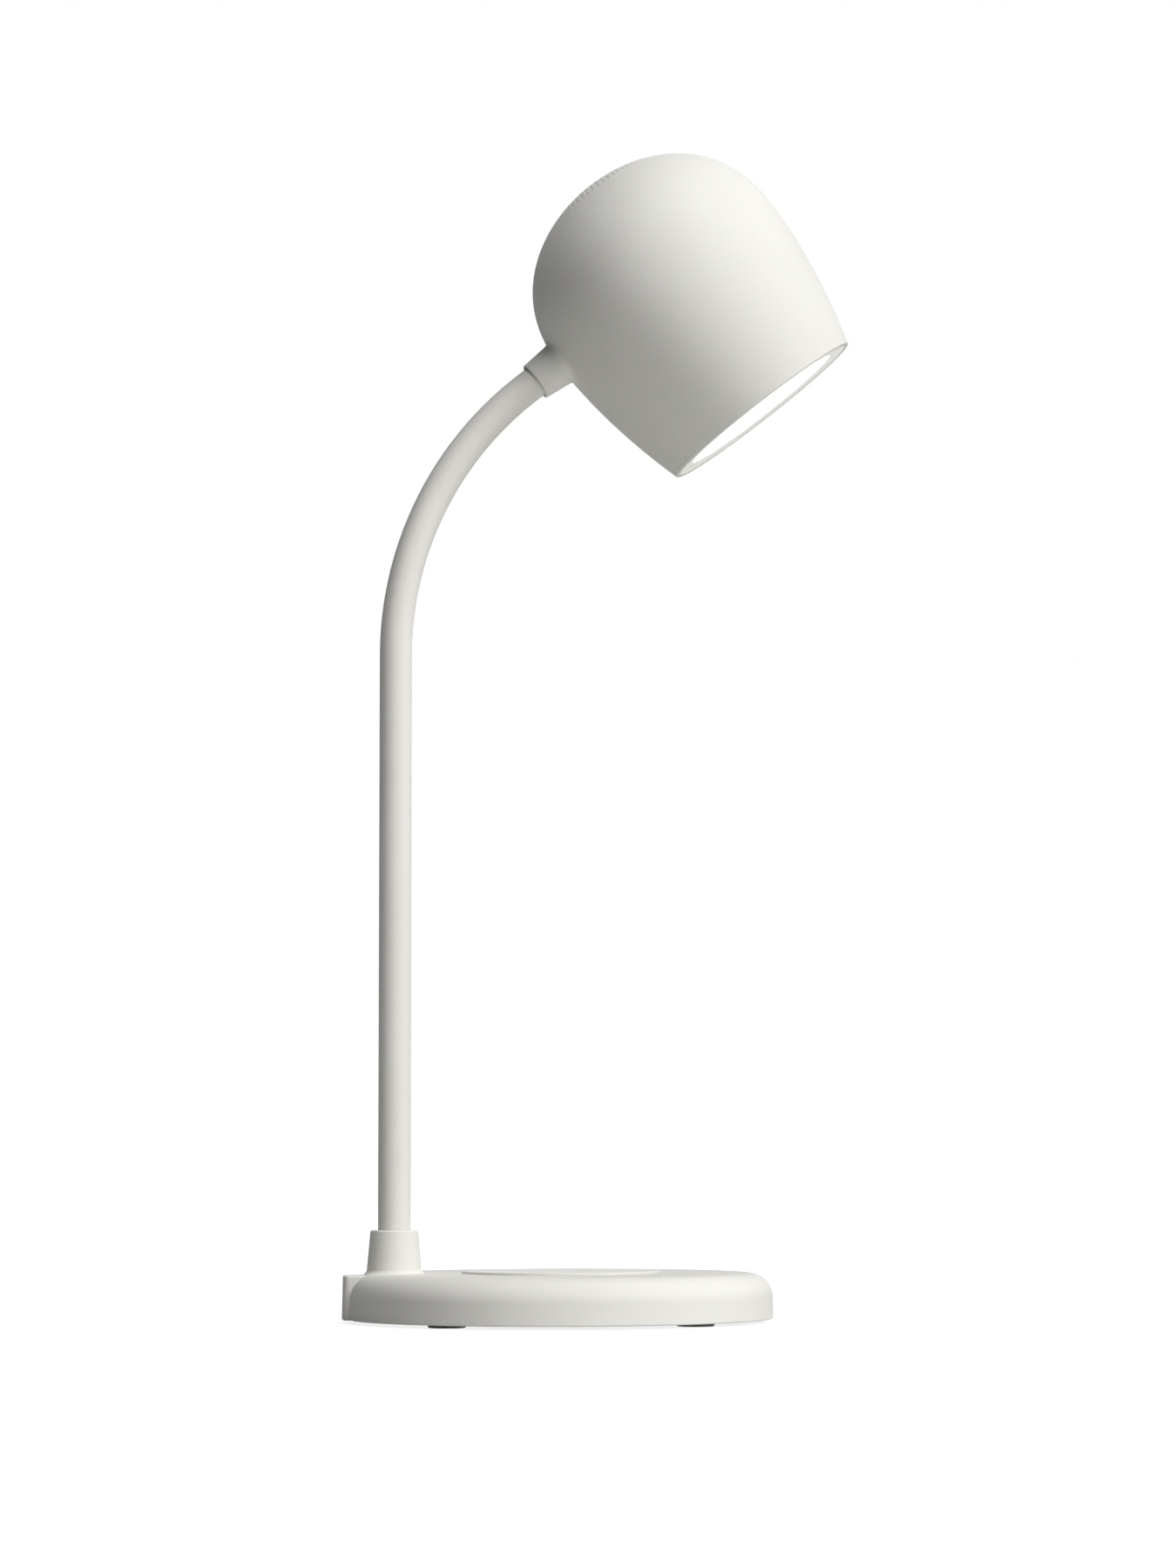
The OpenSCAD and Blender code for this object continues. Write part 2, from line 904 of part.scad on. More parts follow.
module led_board() {
    color(PAD_WHITE)
        at_head()
            translate([0, 0, board_seat + bulkhead_t])
                cylinder(r = 30, h = led_seat - board_seat - bulkhead_t);
}

module led_chips() {
    color(LAMP_YELLOW)
        at_head()
            for (ring = [[8, 5], [16, 13], [24, 22]], i = [0:ring[0] - 1])
                rotate([0, 0, i * 360 / ring[0]])
                    translate([ring[1] - 1.4, -1.75, led_seat])
                        cube([2.8, 3.5, 0.7]);
}

module at_bulkhead_posts() {
    for (a = post_angles)
        rotate([0, 0, a])
            translate([post_reach, 0, board_seat])
                children();
}

// Round plate between the light and the loudspeaker's room
module bulkhead() {
    color(PAD_WHITE)
        at_head()
            difference() {
                union() {
                    translate([0, 0, board_seat])
                        cylinder(r = ledge_r - 0.2, h = bulkhead_t);
                    for (x = [-13, 13], y = [-11, 11])
                        translate([x, y, audio_board_s + 1.6])
                            cylinder(r = 2.2, h = board_seat - audio_board_s - 1);
                }
                at_bulkhead_posts()
                    translate([0, 0, -1])
                        cylinder(r = screw_r + 0.2, h = 5, $fn = 32);
            }
}

module bulkhead_screws() {
    color(STEEL)
        at_head()
            at_bulkhead_posts() {
                translate([0, 0, -9])
                    cylinder(r = screw_r, h = 9 + bulkhead_t, $fn = 32);
                translate([0, 0, bulkhead_t])
                    cylinder(r = 2.3, h = 1.6, $fn = 48);
            }
}

module audio_board() {
    color(BOARD_GREEN)
        at_head() {
            translate([-18, -15, audio_board_s])
                cube([36, 30, 1.6]);
            translate([-10, 3, audio_board_s - 1.4])
                cube([8, 8, 1.5]);
            translate([-14, -11, audio_board_s - 3])
                cube([5, 7, 3.1]);
        }
}

module speaker_gasket() {
    color(BLACK)
        at_head()
            tube(21, 18, speaker_seat, speaker_seat + 0.8);
}

// Pressed frame: flange with four screw holes, cone, back plate
module speaker_basket() {
    color(ZINC)
        at_head()
            difference() {
                rotate_extrude()
                    polygon([
                        [17.6, 13.8], [25, 13.8], [25, 15], [18.8, 15], [18.8, 16.4], [12.8, 24.4],
                        [12.8, 25.2], [5, 25.2], [5, 24], [11.8, 24], [17.6, 16.2]
                    ]);
                for (a = speaker_angles)
                    rotate([0, 0, a])
                        translate([speaker_post_reach, 0, 12])
                            cylinder(r = 1.3, h = 5, $fn = 32);
            }
}

// Cone with its rolled surround and dust cap
module speaker_cone() {
    color(BLACK)
        at_head()
            rotate_extrude()
                polygon(concat(
                    arc_points(15.9, 14.3, 1.6, 0, 180, 8),
                    [[6.1, 20.2], [0, 18]],
                    arc_points(0, 26, 8.8, 270, 313, 5),
                    [[14.3, 13.6]],
                    arc_points(15.9, 14.3, 1, 180, 0, 6)
                ));
}

module speaker_magnet() {
    color(STEEL)
        at_head() {
            tube(12, 5, 25.2, 32);
            translate([0, 0, 32])
                cylinder(r = 12, h = 1.6);
        }
}

module speaker_screws() {
    color(STEEL)
        at_head()
            for (a = speaker_angles)
                rotate([0, 0, a])
                    translate([speaker_post_reach, 0, 0]) {
                        translate([0, 0, 6.5])
                            cylinder(r = 1, h = 8.5, $fn = 32);
                        translate([0, 0, 15])
                            cylinder(r = 2.1, h = 1.4, $fn = 48);
                    }
}

// Cloth behind the sound holes, dished like the back of the grille
module grille_cloth() {
    lip_r = grille_r - grille_lip - fit;
    cloth_r = lip_r - fit;
    front = grille_t + fit;
    edge = front + dome_s(lip_r) * cloth_r / lip_r;
    cloth_t = 0.4;
    color(BLACK)
        at_head()
            rotate_extrude()
                polygon([[0, front], [cloth_r, edge], [cloth_r, edge + cloth_t], [0, front + cloth_t]]);
}

// ---------------------------------------------------------------- assembly

base_shell();
base_plate();
ballast_plate();
charging_pad();
charging_coil();
ferrite_sheet();
base_board();
usb_c_socket();
power_switch();
power_button();
rubber_feet();
base_screws();
lower_ferrule();
lower_nut();
head_shell();
bezel_ring();
diffuser();
reflector();
led_board();
led_chips();
bulkhead();
audio_board();
bulkhead_screws();
speaker_grille();
speaker_basket();
speaker_cone();
speaker_magnet();
speaker_gasket();
speaker_screws();
grille_cloth();
upper_ferrule();
upper_nut();
for (k = [0:joint_count])
    neck_core(k);
for (k = [0:joint_count])
    neck_sleeve(k);
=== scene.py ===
"""Visual model of a desk lamp: an ivory dome head with a light plate and a perforated sound
grille, a silicone-skinned neck that bends, and a round weighted base with a charging pad.

Metres, +Z up. The neck's route comes from the frame's joints and the base's heights from the
boxes of its nodes. Shapes are numpy surfaces: turned profiles, a swept tube, and feet that
flare onto what they stand on.
"""
import json
import math

import bmesh
import bpy
import numpy as np
from mathutils import Matrix, Vector

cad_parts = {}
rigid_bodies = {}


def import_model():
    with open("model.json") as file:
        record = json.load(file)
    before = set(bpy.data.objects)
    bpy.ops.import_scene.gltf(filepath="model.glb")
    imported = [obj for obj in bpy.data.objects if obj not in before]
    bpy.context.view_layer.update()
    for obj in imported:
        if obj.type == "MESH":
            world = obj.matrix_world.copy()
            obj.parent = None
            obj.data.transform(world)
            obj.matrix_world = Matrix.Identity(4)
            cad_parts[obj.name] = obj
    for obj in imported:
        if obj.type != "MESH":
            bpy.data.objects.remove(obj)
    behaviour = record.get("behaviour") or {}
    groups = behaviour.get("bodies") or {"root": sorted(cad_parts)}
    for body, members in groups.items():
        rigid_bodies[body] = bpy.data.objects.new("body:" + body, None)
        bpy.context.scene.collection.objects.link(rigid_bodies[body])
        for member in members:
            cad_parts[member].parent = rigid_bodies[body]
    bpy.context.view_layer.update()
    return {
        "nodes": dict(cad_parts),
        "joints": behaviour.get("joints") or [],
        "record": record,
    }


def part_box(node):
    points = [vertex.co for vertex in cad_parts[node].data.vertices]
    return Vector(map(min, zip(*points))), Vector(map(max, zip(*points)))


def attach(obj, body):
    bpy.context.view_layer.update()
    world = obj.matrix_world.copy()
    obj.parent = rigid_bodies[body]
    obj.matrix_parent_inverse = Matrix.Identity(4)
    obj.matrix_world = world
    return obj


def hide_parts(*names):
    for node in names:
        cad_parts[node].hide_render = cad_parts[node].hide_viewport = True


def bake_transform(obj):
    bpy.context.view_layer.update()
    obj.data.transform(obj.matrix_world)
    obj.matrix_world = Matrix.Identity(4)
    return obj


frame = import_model()

MM = 0.001
SIDES = 192
SHARP = 35


# ---------------------------------------------------------------- surfaces

def arc(centre, radius, start, end, steps=12):
    """Points on a circle about centre, from angle start to end in degrees."""
    a = np.radians(np.linspace(start, end, steps + 1))
    return np.stack([centre[0] + radius * np.cos(a), centre[1] + radius * np.sin(a)], -1)


def eased(corners, ring=False, steps=6, hold=0.15 * MM):
    """Outline through corners (x, y, radius). Each corner with a radius becomes an arc tangent
    to its two sides, and a holding point just before and after it keeps the sides' shading flat.
    The argument ring is not used."""
    corners = [np.array(c, float) for c in corners]
    outline = []
    for i, corner in enumerate(corners):
        point, radius = corner[:2], corner[2]
        if radius == 0:
            outline.append(point[None])
            continue
        before = corners[i - 1][:2] - point
        after = corners[(i + 1) % len(corners)][:2] - point
        before, after = before / np.linalg.norm(before), after / np.linalg.norm(after)
        half = math.acos(np.clip(before @ after, -1, 1)) / 2
        reach = radius / math.tan(half)
        middle = before + after
        centre = point + middle / np.linalg.norm(middle) * radius / math.sin(half)
        first, last = point + before * reach - centre, point + after * reach - centre
        turn = math.atan2(first[0] * last[1] - first[1] * last[0], first @ last)
        a = np.linspace(0, turn, steps + 1)[:, None]
        across = np.array([-first[1], first[0]])
        bend = centre + np.cos(a) * first + np.sin(a) * across
        outline += [(bend[0] + before * hold)[None], bend, (bend[-1] + after * hold)[None]]
    return np.concatenate(outline)


def quads_of(rows, cols, around, along):
    """Faces of a grid of points, with its last column joined to its first if around, and its
    last row to its first if along."""
    i = np.arange(rows if along else rows - 1)[:, None]
    j = np.arange(cols if around else cols - 1)[None]
    right, above = (j + 1) % cols, (i + 1) % rows
    corners = [i * cols + j, i * cols + right, above * cols + right, above * cols + j]
    return np.stack(np.broadcast_arrays(*corners), -1).reshape(-1, 4)


def skin(points, along=False, start=None, end=None):
    """Closed surface on rings of points (row, column, xyz). It closes on itself from the last
    row to the first if along, or else in a fan to the point start and a fan to the point end."""
    rows, cols = points.shape[:2]
    verts = points.reshape(-1, 3)
    quads = quads_of(rows, cols, True, along)
    fans = np.zeros((0, 3), int)
    j = np.arange(cols)
    for tip, first, sense in ((start, 0, 1), (end, (rows - 1) * cols, -1)):
        if tip is not None:
            fan = np.stack([np.full(cols, len(verts)), first + (j + 1) % cols, first + j], -1)
            fans = np.concatenate([fans, fan[:, ::sense]])
            verts = np.concatenate([verts, np.reshape(tip, (1, 3))])
    halves = np.concatenate([quads[:, :3], quads[:, [0, 2, 3]], fans])
    a, b, c = (verts[halves[:, k]] for k in range(3))
    if np.einsum("ij,ij->i", a, np.cross(b, c)).sum() < 0:
        quads, fans = quads[:, ::-1], fans[:, ::-1]
    return verts, quads, fans


def turned(profile, sides=SIDES):
    """Surface of revolution about +Z: a profile point (r, z) becomes the ring
    (r cos a, r sin a, z). A profile that begins and ends on the axis closes there in poles, and
    any other closes on itself."""
    a = np.arange(sides) * 2 * math.pi / sides
    on_axis = profile[0, 0] == 0
    body = profile[1:-1] if on_axis else profile
    r, z = body[:, :1], body[:, 1:]
    rings = np.stack(np.broadcast_arrays(r * np.cos(a), r * np.sin(a), z), -1)
    if on_axis:
        return skin(rings, start=(0, 0, profile[0, 1]), end=(0, 0, profile[-1, 1]))
    return skin(rings, along=True)


def placed(surface, matrix):
    """The same surface with its points carried by a 4x4 matrix."""
    m = np.array(matrix)
    return (surface[0] @ m[:3, :3].T + m[:3, 3], *surface[1:])


def piece(name, surfaces, sharp=SHARP):
    """One mesh object of one or more closed surfaces, smooth but for edges over sharp degrees."""
    verts = np.concatenate([s[0] for s in surfaces])
    shift = np.cumsum([0] + [len(s[0]) for s in surfaces[:-1]])
    quads = np.concatenate([s[1] + d for s, d in zip(surfaces, shift)])
    fans = np.concatenate([s[2] + d for s, d in zip(surfaces, shift)])
    mesh = bpy.data.meshes.new(name)
    mesh.vertices.add(len(verts))
    mesh.loops.add(quads.size + fans.size)
    mesh.polygons.add(len(quads) + len(fans))
    starts = np.concatenate([np.arange(len(quads)) * 4, quads.size + np.arange(len(fans)) * 3])
    mesh.vertices.foreach_set("co", verts.astype(np.float32).ravel())
    corners = np.concatenate([quads.ravel(), fans.ravel()])
    mesh.loops.foreach_set("vertex_index", corners.astype(np.int32))
    mesh.polygons.foreach_set("loop_start", starts.astype(np.int32))
    mesh.update(calc_edges=True)
    mesh.validate()
    obj = bpy.data.objects.new(name, mesh)
    bpy.context.scene.collection.objects.link(obj)
    shade(mesh, sharp)
    return obj


def shade(mesh, sharp):
    """Smooth shading, but for edges over sharp degrees."""
    mesh.polygons.foreach_set("use_smooth", np.ones(len(mesh.polygons), bool))
    mesh.set_sharp_from_angle(angle=math.radians(sharp))


def joined(mesh, gap=1e-6):
    """Merges points of a mesh that lie on each other, and turns its faces outwards."""
    work = bmesh.new()
    work.from_mesh(mesh)
    bmesh.ops.remove_doubles(work, verts=work.verts, dist=gap)
    bmesh.ops.recalc_face_normals(work, faces=work.faces)
    work.to_mesh(mesh)
    work.free()


# ---------------------------------------------------------------- places from the frame

JOINTS = {j["name"]: j for j in frame["joints"]}
NECK_JOINTS = [j for j in frame["joints"] if j["name"].startswith("neck_")]
NECK_COUNT = len(NECK_JOINTS)
joint_x = np.array([j["pos_m"][0] for j in NECK_JOINTS])
joint_z = np.array([j["pos_m"][2] for j in NECK_JOINTS])
BEND_FIRST = 5  # the hinge at which the upright neck begins to bend
bend_dx = joint_x[-1] - joint_x[BEND_FIRST]
bend_dz = joint_z[-1] - joint_z[BEND_FIRST]
bend_angle = 2 * math.atan2(bend_dx, bend_dz)
bend_radius = bend_dz / math.sin(bend_angle)
neck_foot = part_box("base_shell")[1].z
neck_x = joint_x[0]
neck_rise = joint_z[BEND_FIRST] - neck_foot
bend_length = bend_radius * bend_angle
bend_step = bend_length / (NECK_COUNT - 1 - BEND_FIRST)
joint_s = np.where(
    np.arange(NECK_COUNT) <= BEND_FIRST,
    joint_z - neck_foot,
    neck_rise + (np.arange(NECK_COUNT) - BEND_FIRST) * bend_step,
)
sleeve_low, sleeve_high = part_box("neck_sleeve_2")
neck_radius = (sleeve_high.y - sleeve_low.y) / 2
# The collar: its face lies past the last hinge, its axis is that far from the dome's closed end,
# and it reaches that far from the dome's axis.
COLLAR_FACE = 2.3 * MM
COLLAR_AT = 45.1 * MM
COLLAR_REACH = 59.4 * MM
COLLAR_END = 60.3 * MM


def neck_path(s):
    """Points on the neck's axis at distances s above the boss, and the axis's lean there: it is
    straight, then an arc of the bend's radius, then straight again."""
    s = np.asarray(s, float)
    lean = np.clip(s - neck_rise, 0, bend_length) / bend_radius
    below, beyond = np.minimum(s, neck_rise), np.maximum(s - neck_rise - bend_length, 0)
    x = neck_x + bend_radius * (1 - np.cos(lean)) + beyond * np.sin(lean)
    z = neck_foot + below + bend_radius * np.sin(lean) + beyond * np.cos(lean)
    return np.stack([x, np.zeros_like(x), z], -1), lean


def head_matrix():
    """Places the head's pieces: origin at the closed end, +Z to the mouth, +X to the collar."""
    tip, lean = neck_path(neck_rise + bend_length + COLLAR_FACE)
    ahead = np.array([math.cos(lean), 0, -math.sin(lean)])
    along = np.array([math.sin(lean), 0, math.cos(lean)])
    origin = tip - COLLAR_AT * ahead + COLLAR_REACH * along
    m = np.eye(4)
    m[:3, 0], m[:3, 1], m[:3, 2], m[:3, 3] = -along, (0, 1, 0), ahead, origin
    return m


HEAD = head_matrix()
base_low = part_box("base_shell")[0]
pad_low, pad_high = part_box("charging_pad")
foot_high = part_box("rubber_feet")[1]

# ---------------------------------------------------------------- node helpers


def node(tree, kind, **settings):
    """Adds a shader node. A setting is one of its properties, or else one of its inputs."""
    made = tree.nodes.new(kind)
    for key, value in settings.items():
        if hasattr(made, key):
            setattr(made, key, value)
        else:
            made.inputs[key.replace("_", " ")].default_value = value
    return made


def node_group(name, inputs, outputs):
    """Starts a shader node group with named sockets, each a (name, type, default)."""
    tree = bpy.data.node_groups.new(name, "ShaderNodeTree")
    add = tree.interface.new_socket
    for label, kind, default in inputs:
        socket = add(name=label, in_out="INPUT", socket_type="NodeSocket" + kind)
        if default is not None:
            socket.default_value = default
    for label, kind in outputs:
        add(name=label, in_out="OUTPUT", socket_type="NodeSocket" + kind)
    given = tree.nodes.new("NodeGroupInput").outputs
    return tree, given, tree.nodes.new("NodeGroupOutput").inputs


def make_moulded_grain():
    """Spark-eroded mould texture: fine bumps for the normal, and a slow drift that tints the
    colour and moves the roughness."""
    tree, given, out = node_group(
        "Moulded grain",
        [("Vector", "Vector", None), ("Colour", "Color", (0.8, 0.8, 0.8, 1)),
         ("Tint", "Color", (0.7, 0.7, 0.7, 1)), ("Drift size", "Float", 30.0),
         ("Grain size", "Float", 2500.0), ("Grain depth", "Float", 0.05),
         ("Roughness", "Float", 0.5), ("Roughness spread", "Float", 0.1)],
        [("Colour", "Color"), ("Roughness", "Float"), ("Normal", "Vector")])
    link = tree.links.new
    drift = node(tree, "ShaderNodeTexNoise", Detail=3.0, Roughness=0.55)
    link(given["Vector"], drift.inputs["Vector"])
    link(given["Drift size"], drift.inputs["Scale"])
    grain = node(tree, "ShaderNodeTexNoise", Detail=2.0, Roughness=0.6)
    link(given["Vector"], grain.inputs["Vector"])
    link(given["Grain size"], grain.inputs["Scale"])
    tone = node(tree, "ShaderNodeMapRange", From_Min=0.35, From_Max=0.7)
    link(drift.outputs["Fac"], tone.inputs["Value"])
    blend = node(tree, "ShaderNodeMix", data_type="RGBA")
    link(tone.outputs["Result"], blend.inputs[0])
    link(given["Colour"], blend.inputs[6])
    link(given["Tint"], blend.inputs[7])
    link(blend.outputs[2], out["Colour"])
    mixed = node(tree, "ShaderNodeMath", operation="ADD")
    link(drift.outputs["Fac"], mixed.inputs[0])
    link(grain.outputs["Fac"], mixed.inputs[1])
    level = node(tree, "ShaderNodeMath", operation="SUBTRACT")
    link(mixed.outputs[0], level.inputs[0])
    level.inputs[1].default_value = 1.0
    spread = node(tree, "ShaderNodeMath", operation="MULTIPLY_ADD", use_clamp=True)
    link(level.outputs[0], spread.inputs[0])
    link(given["Roughness spread"], spread.inputs[1])
    link(given["Roughness"], spread.inputs[2])
    link(spread.outputs[0], out["Roughness"])
    bump = node(tree, "ShaderNodeBump", Distance=0.0001)
    link(given["Grain depth"], bump.inputs["Strength"])
    link(grain.outputs["Fac"], bump.inputs["Height"])
    link(bump.outputs["Normal"], out["Normal"])
    return tree


def make_brushed_lines():
    """Fine lines along one direction, from noise squeezed along it, on metal."""
    tree, given, out = node_group(
        "Brushed lines",
        [("Vector", "Vector", None), ("Colour", "Color", (0.6, 0.6, 0.6, 1)),
         ("Worn", "Color", (0.4, 0.4, 0.4, 1)), ("Line size", "Float", 900.0),
         ("Roughness", "Float", 0.35), ("Roughness spread", "Float", 0.2),
         ("Depth", "Float", 0.1)],
        [("Colour", "Color"), ("Roughness", "Float"), ("Normal", "Vector")])
    link = tree.links.new
    squeeze = node(tree, "ShaderNodeMapping", vector_type="POINT")
    squeeze.inputs["Scale"].default_value = (1, 1, 0.06)
    link(given["Vector"], squeeze.inputs["Vector"])
    lines = node(tree, "ShaderNodeTexNoise", Detail=3.0, Roughness=0.7)
    link(squeeze.outputs["Vector"], lines.inputs["Vector"])
    link(given["Line size"], lines.inputs["Scale"])
    blend = node(tree, "ShaderNodeMix", data_type="RGBA")
    link(lines.outputs["Fac"], blend.inputs[0])
    link(given["Colour"], blend.inputs[6])
    link(given["Worn"], blend.inputs[7])
    link(blend.outputs[2], out["Colour"])
    level = node(tree, "ShaderNodeMath", operation="SUBTRACT")
    link(lines.outputs["Fac"], level.inputs[0])
    level.inputs[1].default_value = 0.5
    spread = node(tree, "ShaderNodeMath", operation="MULTIPLY_ADD", use_clamp=True)
    link(level.outputs[0], spread.inputs[0])
    link(given["Roughness spread"], spread.inputs[1])
    link(given["Roughness"], spread.inputs[2])
    link(spread.outputs[0], out["Roughness"])
    bump = node(tree, "ShaderNodeBump", Distance=0.0001)
    link(given["Depth"], bump.inputs["Strength"])
    link(lines.outputs["Fac"], bump.inputs["Height"])
    link(bump.outputs["Normal"], out["Normal"])
    return tree


MOULDED_GRAIN = make_moulded_grain()
BRUSHED_LINES = make_brushed_lines()


def finish(name, group, coords="object", values=None, **shader):
    """A material whose colour, roughness and normal come from a group. The shader's own plain
    values are the keywords. coords is object, or the name of a point attribute."""
    material = bpy.data.materials.new(name)
    material.use_nodes = True
    tree = material.node_tree
    surface = tree.nodes["Principled BSDF"]
    for key, value in shader.items():
        surface.inputs[key.replace("_", " ")].default_value = value
    if coords == "object":
        place = node(tree, "ShaderNodeTexCoord").outputs["Object"]
    else:
        place = node(tree, "ShaderNodeAttribute", attribute_name=coords).outputs["Vector"]
    look = node(tree, "ShaderNodeGroup", node_tree=group)
    tree.links.new(place, look.inputs["Vector"])
    for key, value in (values or {}).items():
        look.inputs[key].default_value = value
    tree.links.new(look.outputs["Colour"], surface.inputs["Base Color"])
    tree.links.new(look.outputs["Roughness"], surface.inputs["Roughness"])
    tree.links.new(look.outputs["Normal"], surface.inputs["Normal"])
    return material


def plastic(name, colour, tint, roughness, coords="object", grain=2600.0, depth=0.08,
            spread=0.12, drift=35.0, **shader):
    """Moulded plastic or rubber, whose colour drifts towards tint."""
    values = {"Colour": (*colour, 1), "Tint": (*tint, 1), "Roughness": roughness,
              "Grain size": grain, "Grain depth": depth, "Roughness spread": spread,
              "Drift size": drift}
    return finish(name, MOULDED_GRAIN, coords, values, **shader)


def metal(name, colour, worn, roughness, lines=900.0, depth=0.1):
    """Bare metal with brushed lines, and a worn colour in them."""
    values = {"Colour": (*colour, 1), "Worn": (*worn, 1), "Roughness": roughness,
              "Line size": lines, "Depth": depth}
    return finish(name, BRUSHED_LINES, "object", values, Metallic=1.0)


IVORY = (0.81, 0.803, 0.765)
IVORY_SHADE = (0.79, 0.782, 0.74)
FINISHES = {
    "ivory_plastic": plastic("ivory_plastic", IVORY, IVORY_SHADE, 0.68, Specular_IOR_Level=0.1),
    "pad_plastic": plastic("pad_plastic", (0.81, 0.80, 0.755), (0.785, 0.77, 0.72), 0.55,
                           depth=0.04, Specular_IOR_Level=0.2),
    "silicone_skin": plastic("silicone_skin", (0.80, 0.79, 0.75), (0.775, 0.763, 0.72), 0.62,
                             coords="rest", grain=3200.0, depth=0.12, Specular_IOR_Level=0.1),
    "foot_rubber": plastic("foot_rubber", (0.25, 0.25, 0.24), (0.3, 0.3, 0.29), 0.75,
                           grain=1800.0, depth=0.25),
    "black_plastic": plastic("black_plastic", (0.02, 0.02, 0.022), (0.035, 0.035, 0.036), 0.5),
    "white_plastic": plastic("white_plastic", (0.82, 0.82, 0.80), (0.78, 0.78, 0.76), 0.45),
    "circuit_board": plastic("circuit_board", (0.02, 0.12, 0.06), (0.03, 0.17, 0.08), 0.35,
                             drift=120.0, grain=1500.0),
    "light_diode": plastic("light_diode", (0.85, 0.62, 0.12), (0.80, 0.55, 0.10), 0.3),
    "ferrite": plastic("ferrite", (0.03, 0.03, 0.033), (0.06, 0.06, 0.065), 0.7, grain=900.0),
    "speaker_cloth": plastic("speaker_cloth", (0.022, 0.022, 0.022), (0.04, 0.04, 0.04), 0.9,
                             grain=1600.0, depth=0.5),
    "steel": metal("steel", (0.62, 0.63, 0.65), (0.48, 0.49, 0.51), 0.32),
    "zinc": metal("zinc", (0.45, 0.46, 0.48), (0.33, 0.34, 0.36), 0.5, lines=500.0),
    "copper_wire": metal("copper_wire", (0.72, 0.32, 0.16), (0.55, 0.22, 0.10), 0.3,
                         lines=1500.0),
}


def opal():
    """Opal light plate: lit from behind, its glow a little uneven in soft cloudy patches."""
    material = plastic("opal_plate", (0.86, 0.86, 0.83), (0.84, 0.84, 0.80), 0.4)
    tree = material.node_tree
    surface = tree.nodes["Principled BSDF"]
    cloud = node(tree, "ShaderNodeTexNoise", Scale=22.0, Detail=1.0)
    tree.links.new(node(tree, "ShaderNodeTexCoord").outputs["Object"], cloud.inputs["Vector"])
    glow = node(tree, "ShaderNodeMix", data_type="RGBA")
    glow.inputs[6].default_value = (1.0, 0.985, 0.93, 1)
    glow.inputs[7].default_value = (0.97, 0.95, 0.88, 1)
    tree.links.new(cloud.outputs["Fac"], glow.inputs[0])
    tree.links.new(glow.outputs[2], surface.inputs["Emission Color"])
    surface.inputs["Emission Strength"].default_value = 0.55
    return material


FINISHES["opal_plate"] = opal()


def lit_ivory():
    """The face ring's ivory with a painted glow: it sends out its own colour as light, which
    lightens the ring evenly.
    """
    material = plastic("lit_ivory", IVORY, IVORY_SHADE, 0.6, Specular_IOR_Level=0.1)
    tree = material.node_tree
    surface = tree.nodes["Principled BSDF"]
    look = next(n for n in tree.nodes if n.type == "GROUP")
    # Painted glow: the ring's own colour is emitted, so it shows lighter than the lamps make it.
    tree.links.new(look.outputs["Colour"], surface.inputs["Emission Color"])
    surface.inputs["Emission Strength"].default_value = 0.3
    return material


FINISHES["lit_ivory"] = lit_ivory()


def dress(obj, body, slot, replaced=()):
    """Gives a new piece the finish of its slot, rides it on its body if it has one, and hides the
    CAD parts that it stands for.
    """
    obj.data.materials.clear()
    obj.data.materials.append(FINISHES[slot])
    if body is not None:
        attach(obj, body)
    if replaced:
        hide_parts(*replaced)
    return obj


# Every carried-over CAD node takes the finish of its own slot.
for part in frame["record"]["subparts"]:
    cad = frame["nodes"][part["node"]]
    cad.data.materials.clear()
    cad.data.materials.append(FINISHES[part["material_slot"]])

# ---------------------------------------------------------------- base

TOP = pad_low.z + 0.8 * MM
EDGE_R = 8.5 * MM
DRAFT = 0.05 * MM
BASE_R = 75 * MM
WALL = 2.4 * MM
INNER_R = 3.5 * MM
ROLL_R = BASE_R - DRAFT - EDGE_R
RIM_Z = base_low.z


def cover_height(r):
    """Height of the cover's top at radius r: level, then down the rolled edge's arc."""
    down = np.clip(r - ROLL_R, 0, EDGE_R)
    return TOP - EDGE_R + np.sqrt(EDGE_R ** 2 - down ** 2)


def base_cover():
    """The cover's profile, from the pad's recess over the rolled edge and down the drafted
    side, and back up inside the wall."""
    recess_r = pad_high.x + 0.1 * MM
    roll = arc((ROLL_R, TOP - EDGE_R), EDGE_R, 90, 0, 20)
    inner = arc((BASE_R - WALL - INNER_R, TOP - WALL - INNER_R), INNER_R, 0, 90, 8)
    recess = eased([(0, pad_low.z, 0), (recess_r, pad_low.z, 0),
                    (recess_r, TOP, 0.25 * MM), (ROLL_R - MM, TOP, 0)])
    foot = eased([(roll[-1, 0], roll[-1, 1], 0), (BASE_R, RIM_Z, 0.5 * MM),
                  (BASE_R - WALL, RIM_Z, 0.2 * MM), (BASE_R - WALL, inner[0, 1], 0)])
    profile = np.concatenate([recess, [[ROLL_R - 0.2 * MM, TOP]], roll, foot[1:], inner[1:],
                              [[0, TOP - WALL]]])
    return turned(profile, 256)


BOSS_TIP_R = 8.4 * MM
BOSS_FOOT_R = 9.65 * MM
BOSS_FILLET = 1.8 * MM
BORE_R = neck_radius + 0.25 * MM


